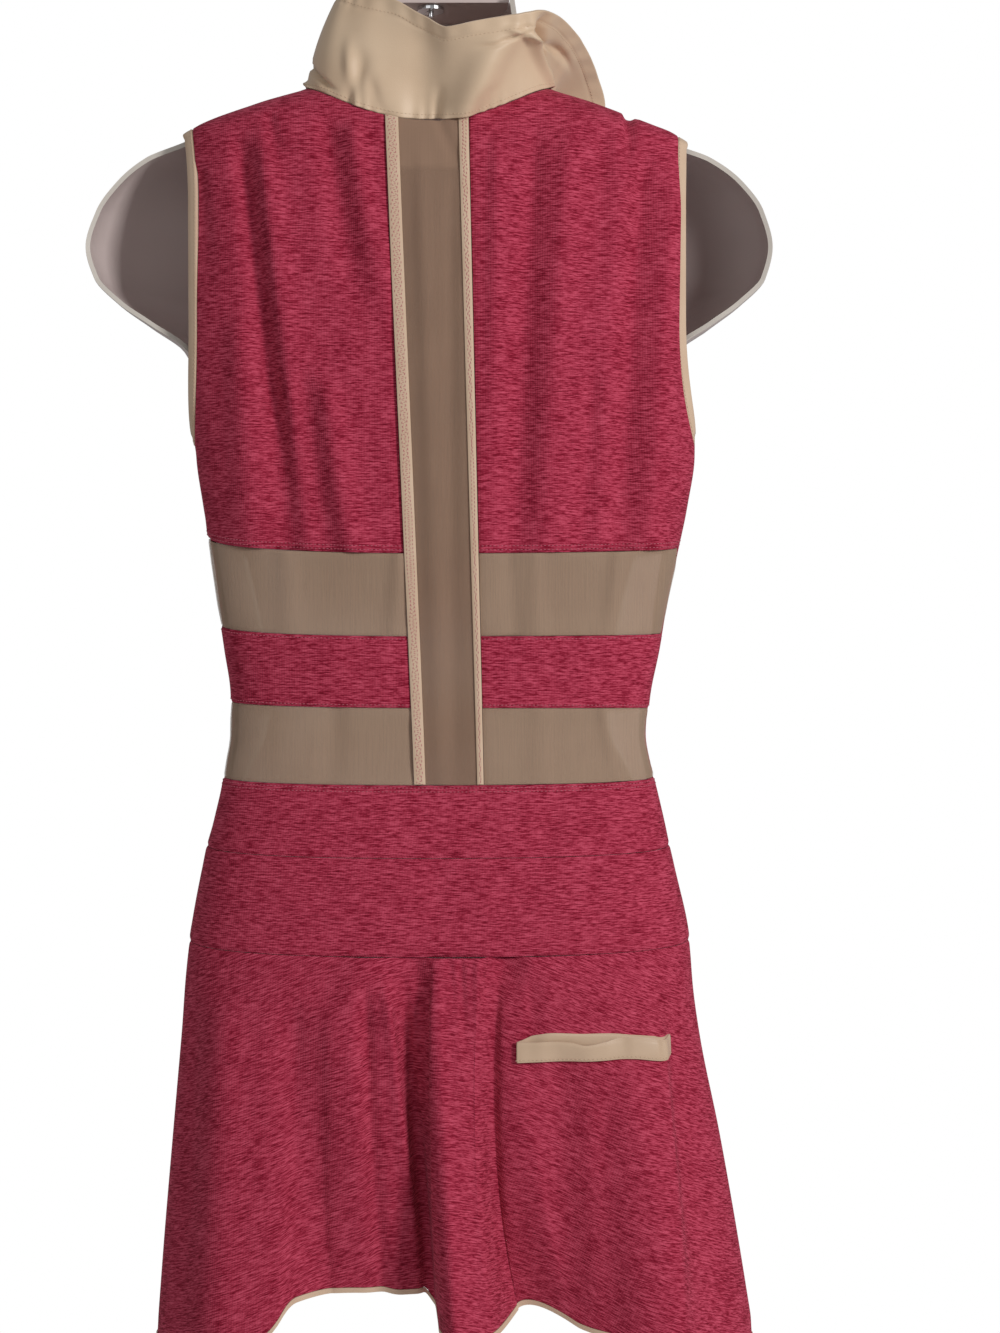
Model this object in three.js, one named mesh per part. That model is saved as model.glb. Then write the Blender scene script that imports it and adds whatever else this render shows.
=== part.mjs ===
// A sleeveless athletic dress on the hollow-back torso form that it hangs from.
// Millimetres. +Z is up, +Y is the wearer's front, +X is the wearer's right.
// The origin is the top of the hook's throat, where a rail carries everything.
import * as THREE from 'three';

// Driving dimensions ------------------------------------------------------------------

const SEAM_GAP = 0.3;                 // clearance between two pieces that are sewn together
const JERSEY = 1.5;                   // wall of the heather jersey panels
const MESH = 1.1;                     // wall of the see-through insets
const WOVEN = 1.3;                    // wall of the collar and the pocket welt
const BINDING = 2.0;                  // wall of the armhole and hem bindings
const SHELL = 3;                      // wall of the moulded form
const BACK_POWER = 2.7;               // how square a section is behind: 2 is an ellipse
const FRONT_POWER = 2.3;

// Sections of the cloth's outer face, from the neck down. left, right, front and back are
// distances from the hanging axis. Above the underarm the sides are those of the form.
const SECTIONS = [
  { z: -78, left: 55.5, right: 61.5, front: 61, back: 40 },
  { z: -100, left: 59, right: 65, front: 62, back: 40 },
  { z: -125, left: 68, right: 71, front: 63, back: 40 },
  { z: -145, left: 84, right: 83, front: 64, back: 40 },
  { z: -158, left: 121, right: 118, front: 67, back: 40 },
  { z: -172, left: 160, right: 156, front: 70, back: 40 },
  { z: -176.5, left: 171.5, right: 167, front: 71, back: 40 },
  { z: -186, left: 195, right: 193, front: 73, back: 40 },
  { z: -203, left: 216, right: 216, front: 77, back: 40 },
  { z: -224, left: 231, right: 231, front: 83, back: 40 },
  { z: -250, left: 238.5, right: 237.5, front: 92, back: 40 },
  { z: -274, left: 232, right: 232, front: 101, back: 40 },
  { z: -293, left: 214, right: 214, front: 108, back: 40 },
  { z: -308, left: 193, right: 194, front: 113, back: 40 },
  { z: -325, left: 170, right: 173, front: 118, back: 42 },
  { z: -350, left: 160, right: 171, front: 124, back: 46 },
  { z: -392, left: 159, right: 179.5, front: 131, back: 50 },
  { z: -425, left: 154.5, right: 175, front: 131, back: 50 },
  { z: -457, left: 149, right: 168, front: 124, back: 49 },
  { z: -490, left: 144, right: 161, front: 113, back: 47 },
  { z: -523, left: 139, right: 155.5, front: 103, back: 45 },
  { z: -556, left: 134.6, right: 149, front: 96, back: 45 },
  { z: -580, left: 134.8, right: 147, front: 95, back: 46 },
  { z: -604, left: 138.7, right: 151, front: 98, back: 49 },
  { z: -637, left: 146.2, right: 158.4, front: 104, back: 55 },
  { z: -669, left: 154, right: 165.5, front: 110, back: 61 },
  { z: -718, left: 162.5, right: 176, front: 117, back: 69 },
  { z: -751, left: 166, right: 178.5, front: 120, back: 71 },
  { z: -784, left: 168.6, right: 183, front: 123, back: 71 },
  { z: -849, left: 174, right: 196, front: 127, back: 69 },
  { z: -915, left: 179.5, right: 207.5, front: 131, back: 66 },
  { z: -988, left: 185, right: 219, front: 135, back: 64 },
];

// How far the form stays inside those sections at its left, right and front, and where its
// open back edge lies, as a share of the half width.
const FORM_FIT = [
  { z: -78, left: 4.6, right: 4.6, front: 4.6, rim: 0.985 },
  { z: -100, left: 4.6, right: 4.6, front: 4.6, rim: 0.985 },
  { z: -125, left: 4.6, right: 4.6, front: 4.6, rim: 0.99 },
  { z: -145, left: 4.6, right: 4.6, front: 4.6, rim: 0.997 },
  { z: -293, left: 4.6, right: 4.6, front: 4.6, rim: 0.997 },
  { z: -308, left: 4.6, right: 4.6, front: 4.6, rim: 0.99 },
  { z: -325, left: 4.6, right: 5, front: 4.6, rim: 0.975 },
  { z: -350, left: 5, right: 10, front: 4.6, rim: 0.95 },
  { z: -392, left: 5, right: 17, front: 4.6, rim: 0.92 },
  { z: -425, left: 5, right: 14, front: 4.6, rim: 0.89 },
  { z: -457, left: 5, right: 10, front: 4.6, rim: 0.85 },
  { z: -490, left: 5, right: 8, front: 4.6, rim: 0.82 },
  { z: -523, left: 5, right: 6, front: 4.6, rim: 0.8 },
  { z: -556, left: 5, right: 5, front: 4.6, rim: 0.8 },
  { z: -580, left: 5, right: 5, front: 4.6, rim: 0.83 },
  { z: -604, left: 5, right: 5, front: 4.6, rim: 0.9 },
  { z: -637, left: 5, right: 5, front: 4.6, rim: 0.95 },
  { z: -669, left: 5, right: 5, front: 4.6, rim: 0.96 },
  { z: -718, left: 5, right: 5, front: 4.6, rim: 0.965 },
  { z: -751, left: 8, right: 8, front: 9, rim: 0.965 },
  { z: -784, left: 12, right: 13, front: 15, rim: 0.965 },
];

// Above the underarm the back panels hang free between the shoulders and the underarm,
// so there the cloth's back has sections of its own.
const UPPER_BACK = [
  { z: -125, left: 68, right: 71, back: 40 },
  { z: -145, left: 84, right: 83, back: 40 },
  { z: -158, left: 121, right: 118, back: 45 },
  { z: -172, left: 160, right: 156, back: 49 },
  { z: -176.5, left: 166, right: 167, back: 50 },
  { z: -186, left: 169, right: 178, back: 52 },
  { z: -215, left: 169, right: 180, back: 54 },
  { z: -270, left: 168, right: 180, back: 56 },
  { z: -330, left: 167, right: 180, back: 54 },
  { z: -392, left: 159, right: 179.5, back: 50 },
];

// Heights of the seams that run round the dress, at the two sides and at the centre back.
const SEAMS = {
  bodice: { left: -448, centre: -460.5, right: -454.5 },
  band_top: { left: -507, centre: -515, right: -512.5 },
  band_foot: { left: -558, centre: -562.5, right: -563 },
  waist: { left: -609, centre: -613, right: -609 },
  yoke: { left: -655, centre: -660.5, right: -655 },
  skirt: { left: -718, centre: -724, right: -718 },
  hem: { left: -981, centre: -968, right: -983 },
};

// Folds of the skirt from its left side seam to its right one, a row for each crest or
// hollow. at_ is its place as a share of the half width, and out_ how far it stands out,
// at the skirt's seam, half way down and at the hem.
const BACK_FOLDS = [
  { at_top: -1, at_mid: -1, at_hem: -1, out_top: 0, out_mid: 0, out_hem: 0 },
  { at_top: -0.74, at_mid: -0.71, at_hem: -0.67, out_top: 0, out_mid: 8, out_hem: 24 },
  { at_top: -0.54, at_mid: -0.53, at_hem: -0.5, out_top: 0, out_mid: 5, out_hem: 20 },
  { at_top: -0.405, at_mid: -0.39, at_hem: -0.335, out_top: 0, out_mid: -6, out_hem: -24 },
  { at_top: -0.245, at_mid: -0.24, at_hem: -0.16, out_top: 2, out_mid: 1, out_hem: -26 },
  { at_top: -0.05, at_mid: -0.025, at_hem: 0.02, out_top: -2, out_mid: -15, out_hem: -30 },
  { at_top: 0.045, at_mid: 0.07, at_hem: 0.09, out_top: 4, out_mid: 12, out_hem: 28 },
  { at_top: 0.193, at_mid: 0.163, at_hem: 0.19, out_top: 4, out_mid: 10, out_hem: 26 },
  { at_top: 0.295, at_mid: 0.235, at_hem: 0.31, out_top: -6, out_mid: -12, out_hem: -22 },
  { at_top: 0.4, at_mid: 0.367, at_hem: 0.466, out_top: 2, out_mid: 6, out_hem: 20 },
  { at_top: 0.636, at_mid: 0.62, at_hem: 0.676, out_top: 0, out_mid: 4, out_hem: 26 },
  { at_top: 0.85, at_mid: 0.816, at_hem: 0.84, out_top: 0, out_mid: -4, out_hem: 2 },
  { at_top: 1, at_mid: 1, at_hem: 1, out_top: 0, out_mid: 0, out_hem: 0 },
];
const FOLD_SPREAD = 0.35;             // how much of a fold's height also goes sideways
const FRONT_FOLDS = [
  { at_top: -1, at_mid: -1, at_hem: -1, out_top: 0, out_mid: 0, out_hem: 0 },
  { at_top: -0.77, at_mid: -0.75, at_hem: -0.745, out_top: 0, out_mid: 5, out_hem: 16 },
  { at_top: -0.515, at_mid: -0.5, at_hem: -0.475, out_top: 0, out_mid: -5, out_hem: -17 },
  { at_top: -0.27, at_mid: -0.24, at_hem: -0.195, out_top: 0, out_mid: 6, out_hem: 20 },
  { at_top: 0.01, at_mid: 0.03, at_hem: 0.045, out_top: 0, out_mid: -6, out_hem: -19 },
  { at_top: 0.26, at_mid: 0.255, at_hem: 0.265, out_top: 0, out_mid: 5, out_hem: 18 },
  { at_top: 0.52, at_mid: 0.51, at_hem: 0.5, out_top: 0, out_mid: -5, out_hem: -16 },
  { at_top: 0.76, at_mid: 0.735, at_hem: 0.73, out_top: 0, out_mid: 5, out_hem: 15 },
  { at_top: 1, at_mid: 1, at_hem: 1, out_top: 0, out_mid: 0, out_hem: 0 },
];

// The neckline is a curve from the neck points down to the centre back and centre front.
// Below it the front parts in a slit, and its centre line drifts by lean to the right.
const NECK_POINT = { left: -84, right: 83, z: -145 };
const NECK_BACK = -175;
const NECK_FRONT = -208;
const NECK_CENTRE = 10;               // how far before the side line the neck's middle lies
const SLIT = { foot: -330, half_gap_top: 12, lean: 6, lean_over: 400 };

// The centre back strip leans a little to the wearer's right on its way down.
const STRIP = { x_top: -0.5, x_foot: 14, half_top: 27.5, half_foot: 23 };
const TAPE = { left_top: 8.5, left_foot: 7.5, right_top: 6.5, right_foot: 4.2 };

// The armhole's cut edge: where it stands on the back, the front and the shoulder.
const ARMHOLE = {
  left: { tip: -159, back: -154.5, front: -148, under: -386 },
  right: { tip: 167, back: 165.5, front: 158, under: -386 },
  width: 8,
  gap: 0.45,
  swing_below: -300,
  lean_above: -225,
};

// The collar stands on the neckline. turn runs from the left front end (-1) over the centre
// back (0) to the right front end (1). x, y and z are how far the top edge stands from the
// seam, and bow is how far the cloth between them bellies out.
const COLLAR = [
  { turn: -1, x: -6, y: 14, z: 72, bow: 2 },
  { turn: -0.75, x: 6, y: -2, z: 73, bow: 3 },
  { turn: -0.5, x: 23, y: 2, z: 69, bow: 4 },
  { turn: -0.25, x: 7, y: 5, z: 73, bow: 5 },
  { turn: -0.03, x: 0, y: -9, z: 73, bow: 4 },
  { turn: 0.1, x: 0, y: -27, z: 65, bow: 2 },
  { turn: 0.28, x: 4, y: -28, z: 53, bow: -5 },
  { turn: 0.42, x: 14, y: -8, z: 53, bow: -8 },
  { turn: 0.5, x: 27, y: 4, z: 47, bow: -9 },
  { turn: 0.6, x: 42, y: 4, z: 40, bow: -9 },
  { turn: 0.72, x: 58, y: 4, z: 30, bow: -8 },
  { turn: 0.86, x: 66, y: 12, z: 20, bow: -6 },
  { turn: 1, x: 66, y: 22, z: 12, bow: -4 },
];

// The pocket welt lies on the right of the skirt's back, with its facing showing above it.
const WELT = { left: 57, right: 155, top: -776.5, foot: -790, top_fall: 2, lift: 0.7 };
const FACING = { left: 66, right: 151, top: -771.5 };

const HEM_BINDING = 3.4;
const FORM_TOP = -80;
const FORM_FOOT = -782;
const FORM_HOLLOW = 8;                // how much flatter than the cloth the form's back edge is
const HOOK = { rod: 2, throat: 20, seat_y: 12, washer: 9, washer_wall: 2.5 };

// Curves --------------------------------------------------------------------------------

const mix = (a, b, t) => a + (b - a) * t;

// Smooth value of one column at a place along a table's key, without overshoot.
function column(rows, key, name, at) {
  const step = Math.sign(rows[1][key] - rows[0][key]);
  let i = 0;
  while (i < rows.length - 2 && step * (at - rows[i + 1][key]) > 0) i += 1;
  const span = (k) => rows[k + 1][key] - rows[k][key];
  const rise = (k) => (rows[k + 1][name] - rows[k][name]) / span(k);
  const slope = (k) => {
    if (k === 0) return rise(0);
    if (k === rows.length - 1) return rise(k - 1);
    const before = rise(k - 1);
    const after = rise(k);
    return before * after > 0 ? (2 * before * after) / (before + after) : 0;
  };
  const t = THREE.MathUtils.clamp((at - rows[i][key]) / span(i), 0, 1);
  const h = span(i);
  return rows[i][name] * (1 + 2 * t) * (1 - t) ** 2 + h * slope(i) * t * (1 - t) ** 2
    + rows[i + 1][name] * t * t * (3 - 2 * t) - h * slope(i + 1) * t * t * (1 - t);
}

const HALF_PI = Math.PI / 2;

// A point of a section. face is -1 for the back and 1 for the front. q runs from -1 at the
// left side over 0 at the centre to 1 at the right side, and past them onto the other face.
function ring(face, q, z, left, right, depth) {
  const power = face < 0 ? BACK_POWER : FRONT_POWER;
  const across = Math.sin(q * HALF_PI);
  const reach = Math.sign(Math.cos(q * HALF_PI)) * (1 - Math.abs(across) ** power) ** (1 / power);
  const wide = across < 0 ? left : right;
  return new THREE.Vector3(wide * across, face * (SEAM_GAP / 2 + depth * reach), z);
}

// q of the section point with a given x.
function placeOf(face, x, z) {
  const wide = column(sectionRows(face, z), 'z', x < 0 ? 'left' : 'right', z);
  return Math.asin(THREE.MathUtils.clamp(x / wide, -1, 1)) / HALF_PI;
}

const UNDERARM = UPPER_BACK[UPPER_BACK.length - 1].z;
const sectionRows = (face, z) => (face < 0 && z > UNDERARM ? UPPER_BACK : SECTIONS);

// The cloth's outer face on the torso.
function torso(face, q, z) {
  const rows = sectionRows(face, z);
  const depth = column(rows, 'z', face < 0 ? 'back' : 'front', z);
  return ring(face, q, z, column(rows, 'z', 'left', z), column(rows, 'z', 'right', z), depth);
}

const seamHeight = (seam, q) => mix(seam.centre, q < 0 ? seam.left : seam.right, q * q);
const frontHeight = (seam, q) => mix((seam.left + seam.right) / 2, q < 0 ? seam.left : seam.right, q * q);
const levelOf = (face) => (face < 0 ? seamHeight : frontHeight);

// How far down the skirt a height is: 0 at its seam and 1 at its hem.
const fallOf = (z) => (z - SEAMS.skirt.left) / (SEAMS.hem.left - SEAMS.skirt.left);

// The value that passes through a row's three columns at the seam, half way and the hem.
const bend = (top, mid, hem, t) => (
  top * (1 - t) * (1 - 2 * t) + 4 * mid * t * (1 - t) + hem * t * (2 * t - 1)
);

const foldsOf = (face) => (face < 0 ? BACK_FOLDS : FRONT_FOLDS);

// The fold table at one height: each row's place across the skirt and how far it stands out.
function foldsAt(face, z) {
  const t = THREE.MathUtils.clamp(fallOf(z), 0, 1);
  return foldsOf(face).map((row) => ({
    at: bend(row.at_top, row.at_mid, row.at_hem, t),
    out: bend(row.out_top, row.out_mid, row.out_hem, t),
  }));
}

// The skirt's outer face: a section with the folds pushed out of it, or into it.
function skirt(face, q, z) {
  const across = Math.sin(q * HALF_PI);
  const facing = Math.sqrt(Math.max(Math.cos(q * HALF_PI), 0));
  const out = column(foldsAt(face, z), 'at', 'out', across);
  return torso(face, q, z).add(new THREE.Vector3(out * across * FOLD_SPREAD, face * out * facing, 0));
}

// Unit normal of a surface of q and z, pointing away from the hanging axis.
function outward(surface, face, q, z) {
  const dq = 0.004;
  const dz = 0.5;
  const along = surface(face, q + dq, z).sub(surface(face, q - dq, z));
  const down = surface(face, q, z - dz).sub(surface(face, q, z + dz));
  const normal = along.cross(down).normalize();
  return face < 0 ? normal.negate() : normal;
}

// Solids --------------------------------------------------------------------------------

// A closed mesh from a list of points and a list of four-sided faces.
function closedMesh(points, quads) {
  const index = [];
  for (const [a, b, c, d] of quads) index.push(a, b, c, a, c, d);
  const geometry = new THREE.BufferGeometry();
  const numbers = points.flatMap((p) => [p.x, p.y, p.z]);
  geometry.setAttribute('position', new THREE.Float32BufferAttribute(numbers, 3));
  let volume = 0;
  for (let i = 0; i < index.length; i += 3) {
    volume += points[index[i]].dot(points[index[i + 1]].clone().cross(points[index[i + 2]]));
  }
  if (volume < 0) index.reverse();
  geometry.setIndex(index);
  return geometry;
}

// A wall between an outer and an inner grid of points. loop closes it round its first way.
function wall(outer, inner, loop = false) {
  const nu = outer.length;
  const nv = outer[0].length;
  const points = [...outer.flat(), ...inner.flat()];
  const o = (i, j) => (i % nu) * nv + j;
  const n = (i, j) => nu * nv + o(i, j);
  const quads = [];
  const last = loop ? nu : nu - 1;
  for (let i = 0; i < last; i += 1) {
    for (let j = 0; j < nv - 1; j += 1) {
      quads.push([o(i, j), o(i + 1, j), o(i + 1, j + 1), o(i, j + 1)]);
      quads.push([n(i, j), n(i, j + 1), n(i + 1, j + 1), n(i + 1, j)]);
    }
    quads.push([o(i, 0), n(i, 0), n(i + 1, 0), o(i + 1, 0)]);
    quads.push([o(i, nv - 1), o(i + 1, nv - 1), n(i + 1, nv - 1), n(i, nv - 1)]);
  }
  if (!loop) {
    for (let j = 0; j < nv - 1; j += 1) {
      quads.push([o(0, j), o(0, j + 1), n(0, j + 1), n(0, j)]);
      quads.push([o(nu - 1, j), n(nu - 1, j), n(nu - 1, j + 1), o(nu - 1, j + 1)]);
    }
  }
  return closedMesh(points, quads);
}

const steps = (count) => Array.from({ length: count + 1 }, (_, k) => k / count);

// A panel on a surface. place(u, v) gives [q, z]. lift raises it clear of what lies under it.
function panel(surface, face, place, us, vs, thickness, lift = 0) {
  const outer = [];
  const inner = [];
  for (const u of us) {
    const outerRow = [];
    const innerRow = [];
    for (const v of vs) {
      const [q, z] = place(u, v);
      const point = surface(face, q, z);
      const normal = outward(surface, face, q, z);
      outerRow.push(point.clone().addScaledVector(normal, lift));
      innerRow.push(point.clone().addScaledVector(normal, lift - thickness));
    }
    outer.push(outerRow);
    inner.push(innerRow);
  }
  return wall(outer, inner);
}

// Place on a patch between four edges, each a function of 0 to 1 that gives [x, z].
function patch(foot, top, left, right) {
  return (u, v) => [0, 1].map((k) => (
    (1 - v) * foot(u)[k] + v * top(u)[k] + (1 - u) * left(v)[k] + u * right(v)[k]
    - (1 - u) * (1 - v) * foot(0)[k] - u * (1 - v) * foot(1)[k]
    - (1 - u) * v * top(0)[k] - u * v * top(1)[k]
  ));
}

// The neckline's height at a given x, behind or in front.
function neckHeight(face, x) {
  const share = Math.abs(x) / Math.abs(x < 0 ? NECK_POINT.left : NECK_POINT.right);
  const low = face < 0 ? NECK_BACK : NECK_FRONT;
  return mix(low, NECK_POINT.z, Math.min(share, 1) ** 1.9);
}

const HALF_GAP = SEAM_GAP / 2;

// Dress ---------------------------------------------------------------------------------

const object = new THREE.Group();
const garment = new THREE.Group();
garment.position.y = -HOOK.seat_y;
object.add(garment);

const FINISH = {
  heather: { color: 0xa83a5a, roughness: 0.9, metalness: 0 },
  mesh: { color: 0xc9b294, roughness: 0.8, metalness: 0 },
  satin: { color: 0xe6cfae, roughness: 0.5, metalness: 0 },
  cream: { color: 0xead7bd, roughness: 0.75, metalness: 0 },
  plastic: { color: 0xb3aaa8, roughness: 0.4, metalness: 0 },
  steel: { color: 0xc0c0c4, roughness: 0.25, metalness: 1 },
};

function addPiece(name, finish, geometry) {
  const piece = new THREE.Mesh(geometry, new THREE.MeshStandardMaterial(FINISH[finish]));
  piece.name = name;
  garment.add(piece);
  return piece;
}

const SIDES = [
  { name: 'left', sign: -1 },
  { name: 'right', sign: 1 },
];

// x of the centre strip's edge on one side.
function stripEdge(sign, z) {
  const t = (z - NECK_BACK) / (SEAMS.waist.centre - NECK_BACK);
  return mix(STRIP.x_top, STRIP.x_foot, t) + sign * mix(STRIP.half_top, STRIP.half_foot, t);
}

// x of the centre front line on one side: closed below the slit, and parted above it.
function frontEdge(sign, z) {
  const part = THREE.MathUtils.clamp((z - SLIT.foot) / (NECK_FRONT - SLIT.foot), 0, 1);
  const centre = SLIT.lean * THREE.MathUtils.clamp((NECK_FRONT - z) / SLIT.lean_over, 0, 1);
  return centre + sign * (HALF_GAP + SLIT.half_gap_top * part);
}

// x of the armhole's cut edge, which swings out to the side seam at the underarm.
function armholeEdge(side, face, z) {
  const hole = ARMHOLE[side.name];
  const straight = face < 0 ? hole.back : hole.front;
  const { swing_below: swing, lean_above: lean } = ARMHOLE;
  const low = THREE.MathUtils.clamp((swing - z) / (swing - hole.under), 0, 1);
  const high = THREE.MathUtils.clamp((z - lean) / (TIP[side.name] - lean), 0, 1);
  const under = side.sign * column(SECTIONS, 'z', side.name, hole.under);
  return mix(mix(straight, under, low ** 2.2), hole.tip, high ** 2);
}

// Height of the shoulder tip: there the section is as wide as the armhole.
const TIP = { left: -171.6, right: -176.5 };

// The outer edge of a bodice panel: up the side seam, round the armhole, up the shoulder.
// ARMHOLE_STEPS are the places along the armhole where panels and bindings have a point.
const CORNERS = { back: [0.2, 0.78], front: [0.44, 0.86] };
const ARMHOLE_STEPS = [0, 0.05, 0.12, 0.21, 0.32, 0.44, 0.56, 0.67, 0.77, 0.86, 0.93, 0.97, 0.99, 1];
const cornersOf = (face) => (face < 0 ? CORNERS.back : CORNERS.front);
function outerEdge(side, face, footZ) {
  const [under, tip] = cornersOf(face);
  const hole = ARMHOLE[side.name];
  const tipZ = TIP[side.name];
  return (v) => {
    if (v <= under) return [side.sign, mix(footZ, hole.under, v / under)];
    if (v >= tip) return [side.sign, mix(tipZ, NECK_POINT.z, (v - tip) / (1 - tip))];
    const z = mix(hole.under, tipZ, (v - under) / (tip - under));
    return [placeOf(face, armholeEdge(side, face, z), z), z];
  };
}

// Steps up a bodice panel, with one at each corner of its outer edge.
function bodiceSteps(face, below, above) {
  const [under, tip] = cornersOf(face);
  return [
    ...steps(below).slice(0, -1).map((t) => under * t),
    ...ARMHOLE_STEPS.map((t) => mix(under, tip, t)),
    ...steps(above).slice(1).map((t) => mix(tip, 1, t)),
  ];
}

// A bodice panel from a seam up to the neckline. innerX gives x of its inner edge. Its
// columns crowd towards the side, where the section turns.
function bodicePanel(side, face, seam, innerX) {
  const level = levelOf(face);
  const footOf = (x) => level(seam, placeOf(face, x, seam.centre)) + HALF_GAP;
  const footX = [innerX(seam.centre), torso(face, side.sign, seam[side.name]).x];
  const neckX = [innerX(neckHeight(face, innerX(NECK_FRONT))), NECK_POINT[side.name]];
  const edge = outerEdge(side, face, level(seam, side.sign) + HALF_GAP);
  const foot = (u) => [mix(...footX, u), footOf(mix(...footX, u))];
  const top = (u) => [mix(...neckX, u), neckHeight(face, mix(...neckX, u))];
  const inner = (v) => {
    const z = mix(foot(0)[1], top(0)[1], v);
    return [innerX(z), z];
  };
  const outer = (v) => [torso(face, ...edge(v)).x, edge(v)[1]];
  const fill = patch(foot, top, inner, outer);
  return (u, v) => {
    if (u === 1) return edge(v);
    const [x, z] = fill(Math.sin(u * HALF_PI), v);
    return [placeOf(face, x, z), z];
  };
}

// A panel between two seams, from the centre strip to the side seam.
function insetPanel(side, topSeam, footSeam) {
  const edge = (z) => placeOf(-1, stripEdge(side.sign, z) + side.sign * HALF_GAP, z);
  const heightAt = (seam, u) => seamHeight(seam, mix(edge(seam.centre), side.sign, u));
  return (u, v) => {
    const z = mix(heightAt(footSeam, u) + HALF_GAP, heightAt(topSeam, u) - HALF_GAP, v);
    return [mix(edge(z), side.sign, u), z];
  };
}

// A panel from side seam to side seam between two seams.
function girdlePanel(face, topSeam, footSeam) {
  const height = levelOf(face);
  return (u, v) => {
    const q = mix(-1, 1, u);
    return [q, mix(height(footSeam, q) + HALF_GAP, height(topSeam, q) - HALF_GAP, v)];
  };
}

for (const side of SIDES) {
  const edge = (z) => stripEdge(side.sign, z) + side.sign * HALF_GAP;
  const back = bodicePanel(side, -1, SEAMS.bodice, edge);
  addPiece(`back_${side.name}`, 'heather', panel(torso, -1, back, steps(9), bodiceSteps(-1, 2, 4), JERSEY));

  const front = bodicePanel(side, 1, SEAMS.waist, (z) => frontEdge(side.sign, z));
  addPiece(`front_${side.name}`, 'heather', panel(torso, 1, front, steps(10), bodiceSteps(1, 6, 3), JERSEY));

  const upper = insetPanel(side, SEAMS.bodice, SEAMS.band_top);
  addPiece(`mesh_upper_${side.name}`, 'mesh', panel(torso, -1, upper, steps(8), steps(3), MESH));
  const band = insetPanel(side, SEAMS.band_top, SEAMS.band_foot);
  addPiece(`band_${side.name}`, 'heather', panel(torso, -1, band, steps(8), steps(2), JERSEY));
  const lower = insetPanel(side, SEAMS.band_foot, SEAMS.waist);
  addPiece(`mesh_lower_${side.name}`, 'mesh', panel(torso, -1, lower, steps(8), steps(2), MESH));
}

// The centre back strip, and the tapes that cover its two seams.
const stripTop = (x) => neckHeight(-1, x) - HALF_GAP;
const stripFoot = (x) => seamHeight(SEAMS.waist, placeOf(-1, x, SEAMS.waist.centre)) + HALF_GAP;
function stripPlace(fromX, toX) {
  return (u, v) => {
    const guess = mix(fromX(NECK_BACK), toX(NECK_BACK), u);
    const z = mix(stripFoot(guess), stripTop(guess), v);
    return [placeOf(-1, mix(fromX(z), toX(z), u), z), z];
  };
}
const stripLeft = (z) => stripEdge(-1, z) + HALF_GAP;
const stripRight = (z) => stripEdge(1, z) - HALF_GAP;
const strip = stripPlace(stripLeft, stripRight);
addPiece('back_strip', 'mesh', panel(torso, -1, strip, steps(4), steps(20), MESH));

const tapeWidth = (name, z) => {
  const t = (z - NECK_BACK) / (SEAMS.waist.centre - NECK_BACK);
  return mix(TAPE[`${name}_top`], TAPE[`${name}_foot`], t);
};
for (const side of SIDES) {
  const outerX = (z) => stripEdge(side.sign, z) - side.sign * HALF_GAP;
  const innerX = (z) => outerX(z) - side.sign * tapeWidth(side.name, z);
  const tape = panel(torso, -1, stripPlace(innerX, outerX), steps(1), steps(20), MESH, SEAM_GAP + MESH);
  addPiece(`tape_${side.name}`, 'cream', tape);
}

for (const [name, face] of [['back', -1], ['front', 1]]) {
  const yoke = girdlePanel(face, SEAMS.waist, SEAMS.yoke);
  addPiece(`yoke_upper_${name}`, 'heather', panel(torso, face, yoke, steps(20), steps(2), JERSEY));
  const hip = girdlePanel(face, SEAMS.yoke, SEAMS.skirt);
  addPiece(`yoke_lower_${name}`, 'heather', panel(torso, face, hip, steps(20), steps(2), JERSEY));
}

// Place on the skirt, from its foot to its top. The columns run along the folds, and
// heightAt(hemQ, topQ, v) is the height of a point of the column between two places.
function skirtPlace(face, heightAt) {
  const folds = foldsOf(face);
  return (u, v) => {
    const i = Math.min(Math.floor(u * (folds.length - 1)), folds.length - 2);
    const share = u * (folds.length - 1) - i;
    const between = (rows, name) => {
      const across = THREE.MathUtils.clamp(mix(rows[i][name], rows[i + 1][name], share), -1, 1);
      return Math.asin(across) / HALF_PI;
    };
    const z = heightAt(between(folds, 'at_hem'), between(folds, 'at_top'), v);
    return [between(foldsAt(face, z), 'at'), z];
  };
}
for (const [name, face, count] of [['back', -1, 48], ['front', 1, 24]]) {
  const top = (q) => levelOf(face)(SEAMS.skirt, q) - HALF_GAP;
  const hem = (q) => seamHeight(SEAMS.hem, q);
  const foot = (q) => hem(q) + HEM_BINDING + SEAM_GAP;
  const cloth = skirtPlace(face, (hemQ, topQ, v) => mix(foot(hemQ), top(topQ), v));
  addPiece(`skirt_${name}`, 'heather', panel(skirt, face, cloth, steps(count), steps(8), JERSEY));
  const edge = skirtPlace(face, (hemQ, topQ, v) => hem(hemQ) + HEM_BINDING * v);
  addPiece(`hem_${name}`, 'cream', panel(skirt, face, edge, steps(count), steps(1), BINDING, 0.25));
}

// The welt of the back pocket, and the strip of its facing that shows above it.
function pocketPlace(row, footOf) {
  return (u, v) => {
    const x = mix(row.left, row.right, u);
    const z = mix(footOf(x), row.top - WELT.top_fall * (u - 0.5) ** 2, v);
    return [placeOf(-1, x, z), z];
  };
}
const weltTop = (x) => WELT.top - WELT.top_fall * ((x - WELT.left) / (WELT.right - WELT.left) - 0.5) ** 2;
const welt = pocketPlace(WELT, () => WELT.foot);
addPiece('pocket_welt', 'satin', panel(skirt, -1, welt, steps(20), steps(2), WOVEN, WOVEN + WELT.lift));
const facing = pocketPlace(FACING, (x) => weltTop(x) + SEAM_GAP);
addPiece('pocket_facing', 'satin', panel(skirt, -1, facing, steps(20), steps(1), WOVEN, WOVEN + WELT.lift));

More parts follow.
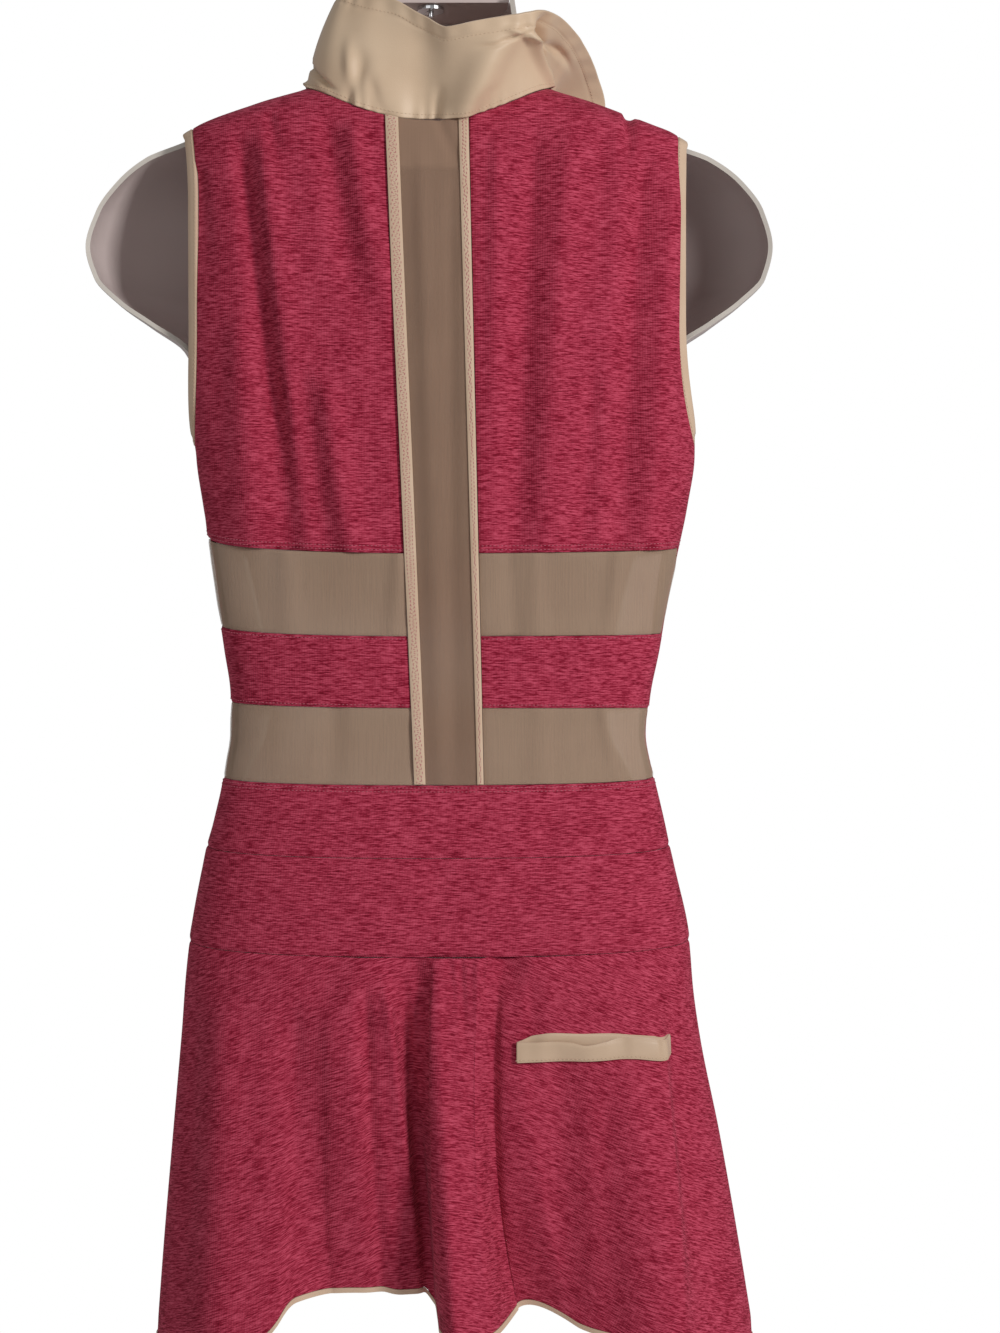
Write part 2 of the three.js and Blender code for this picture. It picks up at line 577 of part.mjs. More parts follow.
// The armhole bindings: a band round each armhole, edge to edge with the panels.
for (const side of SIDES) {
  const edgeOf = (face, seam, stepsUsed) => stepsUsed.map((t) => {
    const [q, z] = outerEdge(side, face, SEAMS[seam][side.name])(mix(...cornersOf(face), t));
    return { point: torso(face, q, z), normal: outward(torso, face, q, z) };
  });
  const rising = ARMHOLE_STEPS.slice(0, -1);
  const falling = [...ARMHOLE_STEPS].reverse().slice(0, -1);
  const edge = [...edgeOf(-1, 'bodice', rising), ...edgeOf(1, 'waist', falling)];
  const outer = [];
  const inner = [];
  edge.forEach(({ point, normal }, k) => {
    const before = edge[(k + edge.length - 1) % edge.length].point;
    const after = edge[(k + 1) % edge.length].point;
    const over = after.clone().sub(before).cross(normal).normalize();
    if (over.dot(new THREE.Vector3(side.sign, 0, point.z < ARMHOLE.swing_below ? 1 : 0)) < 0) over.negate();
    const at = (width, lift) => point.clone().addScaledVector(over, width).addScaledVector(normal, lift);
    const start = ARMHOLE.gap;
    const end = start + ARMHOLE.width;
    outer.push([at(start, 0.1), at((start + end) / 2, 0.4), at(end, 0.1)]);
    inner.push([at(start, 0.1 - BINDING), at((start + end) / 2, 0.1 - BINDING), at(end, 0.1 - BINDING)]);
  });
  addPiece(`armhole_binding_${side.name}`, 'cream', wall(outer, inner, true));
}

// The collar: its seam runs round the neckline, and its cloth stands and falls from there.
function neckSeam(turn) {
  const side = turn < 0 ? SIDES[0] : SIDES[1];
  const neckX = NECK_POINT[side.name];
  if (Math.abs(turn) <= 0.5) {
    const x = Math.abs(neckX) * Math.sin(turn * Math.PI);
    const z = neckHeight(-1, x);
    return torso(-1, Math.abs(turn) === 0.5 ? side.sign : placeOf(-1, x, z), z);
  }
  const start = side.sign * SLIT.half_gap_top;
  const x = mix(start, neckX, Math.cos((Math.abs(turn) - 0.5) * Math.PI));
  const z = neckHeight(1, x);
  return torso(1, placeOf(1, x, z), z);
}
function collarPoint(turn, v) {
  const seam = neckSeam(turn);
  const away = new THREE.Vector3(seam.x, seam.y - NECK_CENTRE, 0).normalize();
  const at = (name) => column(COLLAR, 'turn', name, turn);
  seam.z += 2 * SEAM_GAP;
  seam.addScaledVector(new THREE.Vector3(at('x'), at('y'), at('z')), v);
  return seam.addScaledVector(away, at('bow') * Math.sin(v * Math.PI));
}
function collarNormal(turn, v) {
  const limit = (t) => THREE.MathUtils.clamp(t, -1, 1);
  const along = collarPoint(limit(turn + 0.01), v).sub(collarPoint(limit(turn - 0.01), v));
  const up = collarPoint(turn, v + 0.01).sub(collarPoint(turn, v - 0.01));
  return along.cross(up).normalize();
}
const collarGrid = (depth) => steps(32).map((u) => steps(6).map((v) => {
  const turn = mix(-1, 1, u);
  return collarPoint(turn, v).addScaledVector(collarNormal(turn, v), -depth);
}));
addPiece('collar', 'satin', wall(collarGrid(0), collarGrid(WOVEN)));

// Form ----------------------------------------------------------------------------------

// The cloth's face carried on round the sides: turn past -1 or 1 lies on the open back.
function formSkin(turn, z) {
  const at = (name) => column(SECTIONS, 'z', name, z);
  if (Math.abs(turn) <= 1) return ring(1, turn, z, at('left'), at('right'), at('front'));
  const depth = at('back') - FORM_HOLLOW;
  return ring(-1, Math.sign(turn) * (2 - Math.abs(turn)), z, at('left'), at('right'), depth);
}
function formNormal(turn, z) {
  const along = formSkin(turn + 0.004, z).sub(formSkin(turn - 0.004, z));
  const down = formSkin(turn, z - 0.5).sub(formSkin(turn, z + 0.5));
  return along.cross(down).normalize();
}
function formPoint(turn, z, depth) {
  const across = Math.abs(turn) > 1 ? 1 : Math.abs(Math.sin(turn * HALF_PI)) ** 3;
  const side = column(FORM_FIT, 'z', turn < 0 ? 'left' : 'right', z);
  const ease = mix(column(FORM_FIT, 'z', 'front', z), side, across);
  return formSkin(turn, z).addScaledVector(formNormal(turn, z), -ease - depth);
}
const FORM_LEVELS = [
  FORM_TOP, -92, -108, -124, -137, -146, -153, -160, -167, -174, -181, -189, -199, -212, -230, -250, -268,
  -286, -301, -316, -333, -358, -392, -430, -470, -512, -550, -580, -610, -650, -695, -738, FORM_FOOT,
];
const formGrid = (depth) => steps(26).map((u) => FORM_LEVELS.map((z) => {
  const rim = 2 - Math.asin(column(FORM_FIT, 'z', 'rim', z)) / HALF_PI;
  return formPoint(mix(-rim, rim, u), z, depth);
}));
addPiece('form_shell', 'plastic', wall(formGrid(0), formGrid(SHELL)));

// The plate that closes the form's neck, with the hook's hole in it.
const plateTop = FORM_TOP - 0.5;
const plateEdge = steps(16).map((u) => formPoint(mix(-1, 1, u), plateTop - SHELL, SHELL + 1));
const plate = new THREE.Shape(plateEdge.map((p) => new THREE.Vector2(p.x, p.y)));
plate.holes.push(new THREE.Path().absarc(0, HOOK.seat_y, HOOK.rod + SEAM_GAP, 0, Math.PI * 2));
const plateSolid = new THREE.ExtrudeGeometry(plate, { depth: SHELL, bevelEnabled: false, curveSegments: 10 });
addPiece('form_neck_plate', 'plastic', plateSolid).position.z = plateTop - SHELL;

// The hook: a steel rod that stands in the plate and bends round the rail's place.
const hookRadius = HOOK.throat + HOOK.rod;
const arcPoint = (degrees) => new THREE.Vector3(
  hookRadius * Math.cos(THREE.MathUtils.degToRad(degrees)), HOOK.seat_y,
  hookRadius * Math.sin(THREE.MathUtils.degToRad(degrees)) - HOOK.throat,
);
const hookPath = new THREE.CatmullRomCurve3([
  ...[-90, -80, -70, -60, -53].map((z) => new THREE.Vector3(0, HOOK.seat_y, z)),
  new THREE.Vector3(2.5, HOOK.seat_y, -46),
  ...steps(13).map((t) => arcPoint(mix(-55, 200, t))),
]);
const rodCircle = new THREE.Shape().absarc(0, 0, HOOK.rod, 0, Math.PI * 2);
const rodSolid = new THREE.ExtrudeGeometry(rodCircle, { steps: 40, extrudePath: hookPath, curveSegments: 5 });
addPiece('hook', 'steel', rodSolid);

// A washer below the plate and a nut above it hold the hook in the neck.
function collarRing(radius, height, sides) {
  const bore = (HOOK.rod + SEAM_GAP) / Math.cos(Math.PI / sides);
  const profile = [[bore, 0], [radius, 0], [radius, height], [bore, height], [bore, 0]];
  return new THREE.LatheGeometry(profile.map(([x, y]) => new THREE.Vector2(x, y)), sides).rotateX(HALF_PI);
}
const washer = addPiece('hook_washer', 'steel', collarRing(HOOK.washer, HOOK.washer_wall, 20));
washer.position.set(0, HOOK.seat_y, plateTop - SHELL - SEAM_GAP - HOOK.washer_wall);
const nut = addPiece('hook_nut', 'steel', collarRing(6, 5, 6));
nut.position.set(0, HOOK.seat_y, plateTop + SEAM_GAP);

export default object;
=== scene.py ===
# A sleeveless athletic dress, filled out by the hollow-back torso form that it hangs from.
# Tables and curves are in millimetres and the meshes in metres. +Z is up, -Y is the dress's
# back and +X the wearer's right. The origin is the top of the hook's throat.
import math

import bpy
import numpy as np
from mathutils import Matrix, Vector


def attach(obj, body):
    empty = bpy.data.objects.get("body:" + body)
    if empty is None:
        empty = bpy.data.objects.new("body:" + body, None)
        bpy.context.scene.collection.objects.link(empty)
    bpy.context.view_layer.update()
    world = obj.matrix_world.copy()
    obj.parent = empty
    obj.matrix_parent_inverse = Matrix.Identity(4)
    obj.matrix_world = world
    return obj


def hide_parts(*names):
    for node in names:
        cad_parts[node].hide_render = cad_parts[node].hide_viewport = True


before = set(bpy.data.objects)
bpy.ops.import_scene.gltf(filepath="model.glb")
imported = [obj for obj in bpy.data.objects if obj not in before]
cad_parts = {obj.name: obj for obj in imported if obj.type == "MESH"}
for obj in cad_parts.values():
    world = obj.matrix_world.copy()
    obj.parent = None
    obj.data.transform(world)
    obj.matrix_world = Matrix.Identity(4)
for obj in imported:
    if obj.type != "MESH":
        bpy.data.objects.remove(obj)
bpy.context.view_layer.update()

# The torso form ------------------------------------------------------------------------
# A hollow shell blown from frosted grey-brown plastic: neck, two shoulder caps and a waist,
# open behind and below, with a rolled rim. The cloth hangs close round it, so its sections
# are those of the cloth's outer face, and the form is set in from them.

MM = 0.001
HALF_PI = math.pi / 2
SEAT_Y = 12                 # the side seams' plane lies this far behind the hook
BACK_POWER = 2.7            # how square a section is behind: 2 is an ellipse
FRONT_POWER = 2.3
SEAM_GAP = 0.3


def table(names, *rows):
    return {name: np.array(values, float) for name, values in zip(names.split(), zip(*rows))}


SECTIONS = table(
    "z left right front back",
    (-78, 55.5, 61.5, 61, 40),
    (-100, 59, 65, 62, 40),
    (-125, 68, 71, 63, 40),
    (-145, 84, 83, 64, 40),
    (-158, 121, 118, 67, 40),
    (-172, 160, 156, 70, 40),
    (-176.5, 171.5, 167, 71, 40),
    (-186, 195, 193, 73, 40),
    (-203, 216, 216, 77, 40),
    (-224, 231, 231, 83, 40),
    (-250, 238.5, 237.5, 92, 40),
    (-274, 232, 232, 101, 40),
    (-293, 214, 214, 108, 40),
    (-308, 193, 194, 113, 40),
    (-325, 170, 173, 118, 42),
    (-350, 160, 171, 124, 46),
    (-392, 159, 179.5, 131, 50),
    (-425, 154.5, 175, 131, 50),
    (-457, 149, 168, 124, 49),
    (-490, 144, 161, 113, 47),
    (-523, 139, 155.5, 103, 45),
    (-556, 134.6, 149, 96, 45),
    (-580, 134.8, 147, 95, 46),
    (-604, 138.7, 151, 98, 49),
    (-637, 146.2, 158.4, 104, 55),
    (-669, 154, 165.5, 110, 61),
    (-718, 162.5, 176, 117, 69),
    (-751, 166, 178.5, 120, 71),
    (-784, 168.6, 183, 123, 71),
    (-849, 174, 196, 127, 69),
    (-915, 179.5, 207.5, 131, 66),
    (-988, 185, 219, 135, 64),
)
FORM_FIT = table(
    "z left right front rim",
    (-78, 4.6, 4.6, 4.6, 0.985),
    (-100, 4.6, 4.6, 4.6, 0.985),
    (-125, 4.6, 4.6, 4.6, 0.99),
    (-145, 4.6, 4.6, 4.6, 0.997),
    (-293, 4.6, 4.6, 4.6, 0.997),
    (-308, 4.6, 4.6, 4.6, 0.99),
    (-325, 4.6, 5, 4.6, 0.975),
    (-350, 5, 10, 4.6, 0.95),
    (-392, 5, 17, 4.6, 0.92),
    (-425, 5, 14, 4.6, 0.89),
    (-457, 5, 10, 4.6, 0.85),
    (-490, 5, 8, 4.6, 0.82),
    (-523, 5, 6, 4.6, 0.8),
    (-556, 5, 5, 4.6, 0.8),
    (-580, 5, 5, 4.6, 0.83),
    (-604, 5, 5, 4.6, 0.9),
    (-637, 5, 5, 4.6, 0.95),
    (-669, 5, 5, 4.6, 0.96),
    (-718, 5, 5, 4.6, 0.965),
    (-751, 8, 8, 9, 0.965),
    (-784, 12, 13, 15, 0.965),
)
FORM_TOP = -80
FORM_FOOT = -782
FORM_HOLLOW = 8             # how much flatter than the cloth the form's back edge is
SHELL_WALL = 3
FORM_SHADE = (204, 184, 182)
FORM_LIGHT = (222, 208, 202)
# Painted highlight: the strip along the shell's open edge gets its own colour for the light it catches and
# lets through.
FORM_RIM_HIGHLIGHT = (214, 206, 196)


def mix(a, b, t):
    return a + (b - a) * t


def step_between(low, high, x):
    """0 before low, 1 after high and a soft step between them."""
    t = np.clip((x - low) / (high - low), 0, 1)
    return t * t * (3 - 2 * t)


def column(keys, values, at):
    """Smooth value between a table's rows, without overshoot. Keys may differ from point to point."""
    at = np.asarray(at, float)

    def spread(rows):
        rows = np.asarray(rows, float)
        column_of = rows.reshape(rows.shape + (1,) * (at.ndim + 1 - rows.ndim))
        return np.broadcast_to(column_of, rows.shape[:1] + at.shape)

    keys, values = spread(keys), spread(values)
    if keys[1].flat[0] < keys[0].flat[0]:
        keys, at = -keys, -at
    span = np.diff(keys, axis=0)
    rise = np.diff(values, axis=0) / span
    before, after = rise[:-1], rise[1:]
    same_way = before * after > 0
    middle = np.where(same_way, 2 * before * after / np.where(same_way, before + after, 1), 0)
    slopes = np.concatenate([rise[:1], middle, rise[-1:]])
    row = np.clip((at > keys[1:-1]).sum(0), 0, len(keys) - 2)

    def pick(rows, k):
        return np.take_along_axis(rows, k[None], 0)[0]

    h = pick(span, row)
    t = np.clip((at - pick(keys, row)) / h, 0, 1)
    return (
        pick(values, row) * (1 + 2 * t) * (1 - t) ** 2 + h * pick(slopes, row) * t * (1 - t) ** 2
        + pick(values, row + 1) * t * t * (3 - 2 * t) - h * pick(slopes, row + 1) * t * t * (1 - t)
    )


def ring(face, q, z, left, right, depth):
    """A section's point. face is -1 behind and 1 in front; q runs from -1 at its left to 1 at its right."""
    power = BACK_POWER if face < 0 else FRONT_POWER
    across = np.sin(q * HALF_PI)
    reach = np.sign(np.cos(q * HALF_PI)) * (1 - np.abs(across) ** power) ** (1 / power)
    wide = np.where(across < 0, left, right)
    return np.stack([wide * across, face * (SEAM_GAP / 2 + depth * reach), z + 0 * q], -1)


def form_skin(turn, z):
    def at(name):
        return column(SECTIONS["z"], SECTIONS[name], z)

    front = ring(1, turn, z, at("left"), at("right"), at("front"))
    back = at("back") - FORM_HOLLOW
    behind = ring(-1, np.sign(turn) * (2 - np.abs(turn)), z, at("left"), at("right"), back)
    return np.where((np.abs(turn) <= 1)[..., None], front, behind)


def unit(vectors):
    return vectors / np.maximum(np.linalg.norm(vectors, axis=-1, keepdims=True), 1e-12)


def form_point(turn, z, depth):
    along = form_skin(turn + 0.004, z) - form_skin(turn - 0.004, z)
    down = form_skin(turn, z - 0.5) - form_skin(turn, z + 0.5)
    across = np.where(np.abs(turn) > 1, 1, np.abs(np.sin(turn * HALF_PI)) ** 3)
    left, right = column(FORM_FIT["z"], FORM_FIT["left"], z), column(FORM_FIT["z"], FORM_FIT["right"], z)
    side = np.where(turn < 0, left, right)
    ease = mix(column(FORM_FIT["z"], FORM_FIT["front"], z), side, across)
    return form_skin(turn, z) - unit(np.cross(along, down)) * (ease + depth)[..., None]


class Value:
    """A shader socket that can be reckoned with: each operator adds its Math node."""

    def __init__(self, finish, socket):
        self.finish = finish
        self.socket = socket

    def math(self, operation, *others, clamp=False):
        settings = {"operation": operation, "use_clamp": clamp}
        return self.finish.node("Math", settings, dict(enumerate((self, *others))))

    def output(self, name):
        return Value(self.finish, self.socket.node.outputs[name])

    def __add__(self, other):
        return self.math("ADD", other)

    def __sub__(self, other):
        return self.math("SUBTRACT", other)

    def __rsub__(self, other):
        return (self * -1) + other

    def __mul__(self, other):
        return self.math("MULTIPLY", other)

    __radd__ = __add__
    __rmul__ = __mul__


class Finish:
    """A material being made. node() adds any node; paint() ends it with a Principled shader."""

    def __init__(self, name):
        self.material = bpy.data.materials.new(name)
        self.material.use_nodes = True
        self.tree = self.material.node_tree
        self.tree.nodes.clear()

    def node(self, kind, settings=(), inputs=()):
        made = self.tree.nodes.new("ShaderNode" + kind)
        for key, value in dict(settings).items():
            setattr(made, key, value)
        for key, value in dict(inputs).items():
            if isinstance(value, Value):
                self.tree.links.new(value.socket, made.inputs[key])
            else:
                made.inputs[key].default_value = value
        return Value(self, next(s for s in made.outputs if s.enabled))

    def place(self):
        return self.node("TexCoord").output("Object")

    def scaled(self, vector, *factors):
        return self.node("VectorMath", {"operation": "MULTIPLY"}, {0: vector, 1: (*factors, 1)[:3]})

    def noise(self, vector, detail=2, rough=0.5):
        inputs = {"Vector": vector, "Scale": 1, "Detail": detail, "Roughness": rough}
        return self.node("TexNoise", {"noise_dimensions": "3D"}, inputs)

    def blend(self, share, first, second):
        made = self.tree.nodes.new("ShaderNodeMix")
        made.data_type = "RGBA"
        for socket, value in ((made.inputs[0], share), (made.inputs[6], first), (made.inputs[7], second)):
            if isinstance(value, Value):
                self.tree.links.new(value.socket, socket)
            else:
                socket.default_value = (*value, 1) if hasattr(value, "__len__") else value
        return Value(self, made.outputs[2])

    def bump(self, height, distance, strength=1):
        return self.node("Bump", {}, {"Height": height, "Distance": distance, "Strength": strength})

    def paint(self, **inputs):
        named = {key.replace("_", " "): value for key, value in inputs.items()}
        skin = self.node("BsdfPrincipled", {}, named)
        output = self.tree.nodes.new("ShaderNodeOutputMaterial")
        self.tree.links.new(skin.socket, output.inputs["Surface"])
        return self.material


def linear(*rgb):
    """Linear light from an 0 to 255 display colour."""
    return tuple(((c / 255 + 0.055) / 1.055) ** 2.4 if c > 10 else c / 255 / 12.92 for c in rgb)


def plastic_finish():
    finish = Finish("frosted_plastic")
    place = finish.place()
    # The rim attribute marks where the painted highlight along the shell's open edge goes.
    rim = finish.node("Attribute", {"attribute_name": "rim"}).output("Fac")
    cloud = finish.noise(finish.scaled(place, 9, 9, 14), 3)
    grain = finish.noise(finish.scaled(place, 1400, 1400, 1400), 1)
    body = finish.blend(cloud, linear(*FORM_SHADE), linear(*FORM_LIGHT))
    return finish.paint(
        Base_Color=finish.blend(rim, body, linear(*FORM_RIM_HIGHLIGHT)),
        Roughness=0.34 + cloud * 0.16,
        Normal=finish.bump(grain, 0.00012, 0.5),
        IOR=1.5,
        Coat_Weight=0.15,
        Coat_Roughness=0.25,
    )


def in_scene(name, data):
    made = bpy.data.objects.new(name, data)
    bpy.context.scene.collection.objects.link(made)
    return made


def mesh_object(name, points, faces, material, flat_from=None, uv=None, marks=None):
    """A mesh at the origin. Faces from flat_from on are flat-shaded; marks is a point attribute."""
    mesh = bpy.data.meshes.new(name)
    placed = np.asarray(points, float).reshape(-1, 3) - (0, SEAT_Y, 0)
    mesh.from_pydata((placed * MM).tolist(), [], [tuple(face) for face in faces])
    smooth = np.ones(len(faces), bool)
    if flat_from is not None:
        smooth[flat_from:] = False
    mesh.polygons.foreach_set("use_smooth", smooth)
    if uv is not None:
        layer = mesh.uv_layers.new(name="Cloth")
        corner = np.zeros(len(mesh.loops), np.int32)
        mesh.loops.foreach_get("vertex_index", corner)
        layer.data.foreach_set("uv", (np.asarray(uv, np.float32).reshape(-1, 2) * MM)[corner].ravel())
    for key, values in (marks or {}).items():
        attribute = mesh.attributes.new(key, "FLOAT", "POINT")
        attribute.data.foreach_set("value", np.asarray(values, np.float32).ravel())
    mesh.materials.append(material)
    mesh.update()
    return in_scene(name, mesh)


def grid_faces(nu, nv, start=0, flip=False, loop=False):
    i, j = np.meshgrid(np.arange(nu if loop else nu - 1), np.arange(nv - 1), indexing="ij")
    a, b = i * nv + j, ((i + 1) % nu) * nv + j
    quads = np.stack([a, b, b + 1, a + 1], -1).reshape(-1, 4) + start
    return quads[:, ::-1] if flip else quads


def shell(name, outer, inner, material, loop=False, uv=None, marks=None):
    """A closed thin wall between two grids of points; marks and uv are given on the outer one."""
    nu, nv = outer.shape[:2]
    size = nu * nv
    du, dv = np.diff(outer, axis=0)[:, :-1], np.diff(outer, axis=1)[:-1]
    flip = (np.cross(du, dv) * (outer - inner)[:-1, :-1]).sum() < 0
    faces = [grid_faces(nu, nv, 0, flip, loop), grid_faces(nu, nv, size, not flip, loop)]
    index = np.arange(size).reshape(nu, nv)
    if loop:
        index = np.concatenate([index, index[:1]])
    rims = [index[:, 0], index[::-1, -1]]
    if not loop:
        rims += [index[0, ::-1], index[-1]]
    for edge in rims:
        a, b = edge[:-1], edge[1:]
        quads = np.stack([a, a + size, b + size, b], -1)
        faces.append(quads[:, ::-1] if flip else quads)
    count = len(faces[0]) + len(faces[1])
    points = np.concatenate([outer.reshape(-1, 3), inner.reshape(-1, 3)])
    twice = None if uv is None else np.concatenate([uv.reshape(-1, 2)] * 2)
    doubled = {key: np.concatenate([value.ravel()] * 2) for key, value in (marks or {}).items()}
    return mesh_object(name, points, np.concatenate(faces).tolist(), material, count, twice, doubled)


plastic = plastic_finish()
# The form's levels lie close together where its shoulders turn.
form_levels = np.concatenate([
    np.linspace(FORM_TOP, -140, 22),
    np.linspace(-142, -200, 46),
    np.linspace(-203, -330, 46),
    np.linspace(-335, FORM_FOOT, 70),
])
form_turn = np.linspace(-1, 1, 151)[:, None] + 0 * form_levels
form_z = form_levels + 0 * form_turn
form_rim = 2 - np.arcsin(column(FORM_FIT["z"], FORM_FIT["rim"], form_z)) / HALF_PI
form_outer = form_point(form_turn * form_rim, form_z, np.zeros_like(form_z))
form_inner = form_point(form_turn * form_rim, form_z, np.full_like(form_z, SHELL_WALL))
# Where the painted highlight along the shell's open edge lies.
rim_highlight_mark = step_between(0.975, 0.992, np.abs(form_turn))
form = shell("torso_form", form_outer, form_inner, plastic, marks={"rim": rim_highlight_mark})
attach(form, "root")
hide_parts("form_shell")


def coat(node_name, material):
    """A better finish for a part that stays as it is, on its object's own slots."""
    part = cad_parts[node_name]
    for held_by in part.material_slots:
        held_by.link = "OBJECT"
        held_by.material = material


coat("form_neck_plate", plastic)

# The back and front of the bodice --------------------------------------------------------
# Four panels of heathered raspberry jersey, cut with the knit running across: two behind,
# from the shoulder to the ribs, and two in front, down to the waist, with an open slit below
# the collar. They hang in soft folds from the shoulder seams.

UPPER_BACK = table(
    "z left right back",
    (-125, 68, 71, 40),
    (-145, 84, 83, 40),
    (-158, 121, 118, 45),
    (-172, 160, 156, 49),
    (-176.5, 166, 167, 50),
    (-186, 169, 178, 52),
    (-215, 169, 180, 54),
    (-270, 168, 180, 56),
    (-330, 167, 180, 54),
    (-392, 159, 179.5, 50),
)
SEAMS = {
    "bodice": (-448, -460.5, -454.5),
    "band_top": (-507, -515, -512.5),
    "band_foot": (-558, -562.5, -563),
    "waist": (-609, -613, -609),
    "yoke": (-655, -660.5, -655),
    "skirt": (-718, -724, -718),
    "hem": (-981, -968, -983),
}
NECK_X = {-1: -84, 1: 83}
NECK_Z = -145
NECK_LOW = {-1: -175, 1: -208}
SLIT_FOOT, SLIT_HALF, SLIT_LEAN, SLIT_LEAN_OVER = -330, 12, 6, 400
STRIP_TOP, STRIP_FOOT = (-0.5, 27.5), (14, 23)          # centre x and half width
ARM_TIP = {-1: (-159, -171.6), 1: (167, -176.5)}        # x and z of the shoulder tip
ARM_EDGE = {(-1, -1): -154.5, (-1, 1): 165.5, (1, -1): -148, (1, 1): 158}   # by face and side
ARM_UNDER, ARM_SWING, ARM_LEAN = -386, -300, -225
CORNERS = {-1: (0.2, 0.78), 1: (0.44, 0.86)}            # where the armhole starts and ends up the edge
JERSEY_WALL = 1.1
JERSEY_MID = (154, 28, 56)
JERSEY_WARM = (162, 34, 62)
JERSEY_PALE = (206, 84, 108)
JERSEY_DEEP = (104, 8, 28)
SIDES = {-1: "left", 1: "right"}
HALF_GAP = SEAM_GAP / 2
ROLL_REACH = 1.3            # how far in from a seam the cloth rolls under
SWELL_WAVES = 7
SWELL_FADE = 14             # the swell dies out this far from a panel's head and foot
SLANT_EASE = 40             # half the width over which slanting courses turn level


def sections_at(face, z, name):
    low = column(SECTIONS["z"], SECTIONS[name], z)
    if face > 0:
        return low
    high = column(UPPER_BACK["z"], UPPER_BACK[name], z)
    return np.where(z > UPPER_BACK["z"][-1], high, low)


def torso(face, q, z):
    depth = sections_at(face, z, "back" if face < 0 else "front")
    return ring(face, q, z, sections_at(face, z, "left"), sections_at(face, z, "right"), depth)


def place_of(face, x, z):
    wide = np.where(x < 0, sections_at(face, z, "left"), sections_at(face, z, "right"))
    return np.arcsin(np.clip(x / wide, -1, 1)) / HALF_PI


def seam_height(face, seam, q):
    left, centre, right = SEAMS[seam]
    middle = centre if face < 0 else (left + right) / 2
    return mix(middle, np.where(q < 0, left, right), q * q)


def neck_height(face, x):
    share = np.minimum(np.abs(x) / np.where(x < 0, -NECK_X[-1], NECK_X[1]), 1)
    return mix(NECK_LOW[face], NECK_Z, share ** 1.9)


def strip_edge(sign, z):
    t = (z - NECK_LOW[-1]) / (SEAMS["waist"][1] - NECK_LOW[-1])
    return mix(STRIP_TOP[0], STRIP_FOOT[0], t) + sign * mix(STRIP_TOP[1], STRIP_FOOT[1], t)


def front_edge(sign, z):
    part = np.clip((z - SLIT_FOOT) / (NECK_LOW[1] - SLIT_FOOT), 0, 1)
    centre = SLIT_LEAN * np.clip((NECK_LOW[1] - z) / SLIT_LEAN_OVER, 0, 1)
    return centre + sign * (HALF_GAP + SLIT_HALF * part)


def armhole_x(side, face, z):
    low = np.clip((ARM_SWING - z) / (ARM_SWING - ARM_UNDER), 0, 1)
    high = np.clip((z - ARM_LEAN) / (ARM_TIP[side][1] - ARM_LEAN), 0, 1)
    under = side * column(SECTIONS["z"], SECTIONS[SIDES[side]], ARM_UNDER)
    return mix(mix(ARM_EDGE[face, side], under, low ** 2.2), ARM_TIP[side][0], high ** 2)


def outer_edge(side, face, foot_z, v):
    """q and z up a bodice panel's outer edge: the side seam, the armhole and the shoulder."""
    under, tip = CORNERS[face]
    tip_z = ARM_TIP[side][1]
    z = np.interp(v, (0, under, tip, 1), (foot_z, ARM_UNDER, tip_z, NECK_Z))
    hole = place_of(face, armhole_x(side, face, z), z)
    return np.where((v > under) & (v < tip), hole, side), z


def bodice_place(side, face, seam, inner_x):
    """place(u, v) of a panel from a seam up to the neckline, whose inner edge has a given x."""

    def foot_z(x):
        return seam_height(face, seam, place_of(face, x, SEAMS[seam][1])) + HALF_GAP

    side_z = seam_height(face, seam, side) + HALF_GAP
    foot_x = (inner_x(SEAMS[seam][1]), torso(face, np.float64(side), SEAMS[seam][1 + side])[0])
    neck_x = (inner_x(neck_height(face, inner_x(NECK_LOW[1]))), NECK_X[side])

    def foot(u):
        return np.stack([mix(*foot_x, u), foot_z(mix(*foot_x, u))])

    def top(u):
        return np.stack([mix(*neck_x, u), neck_height(face, mix(*neck_x, u))])

    def inner(v):
        z = mix(foot(0.0)[1], top(0.0)[1], v)
        return np.stack([inner_x(z), z])

    def outer(v):
        q, z = outer_edge(side, face, side_z, v)
        return np.stack([torso(face, q, z)[..., 0], z])

    def place(u, v):
        w = np.sin(u * HALF_PI)
        corners = (
            (1 - w) * (1 - v) * foot(0.0)[:, None, None] + w * (1 - v) * foot(1.0)[:, None, None]
            + (1 - w) * v * top(0.0)[:, None, None] + w * v * top(1.0)[:, None, None]
        )
        x, z = (1 - v) * foot(w) + v * top(w) + (1 - w) * inner(v) + w * outer(v) - corners
        q = place_of(face, x, z)
        edge_q, edge_z = outer_edge(side, face, side_z, v)
        last = u > 1 - 1e-9
        return np.where(last, edge_q, q), np.where(last, edge_z, z)

    return place


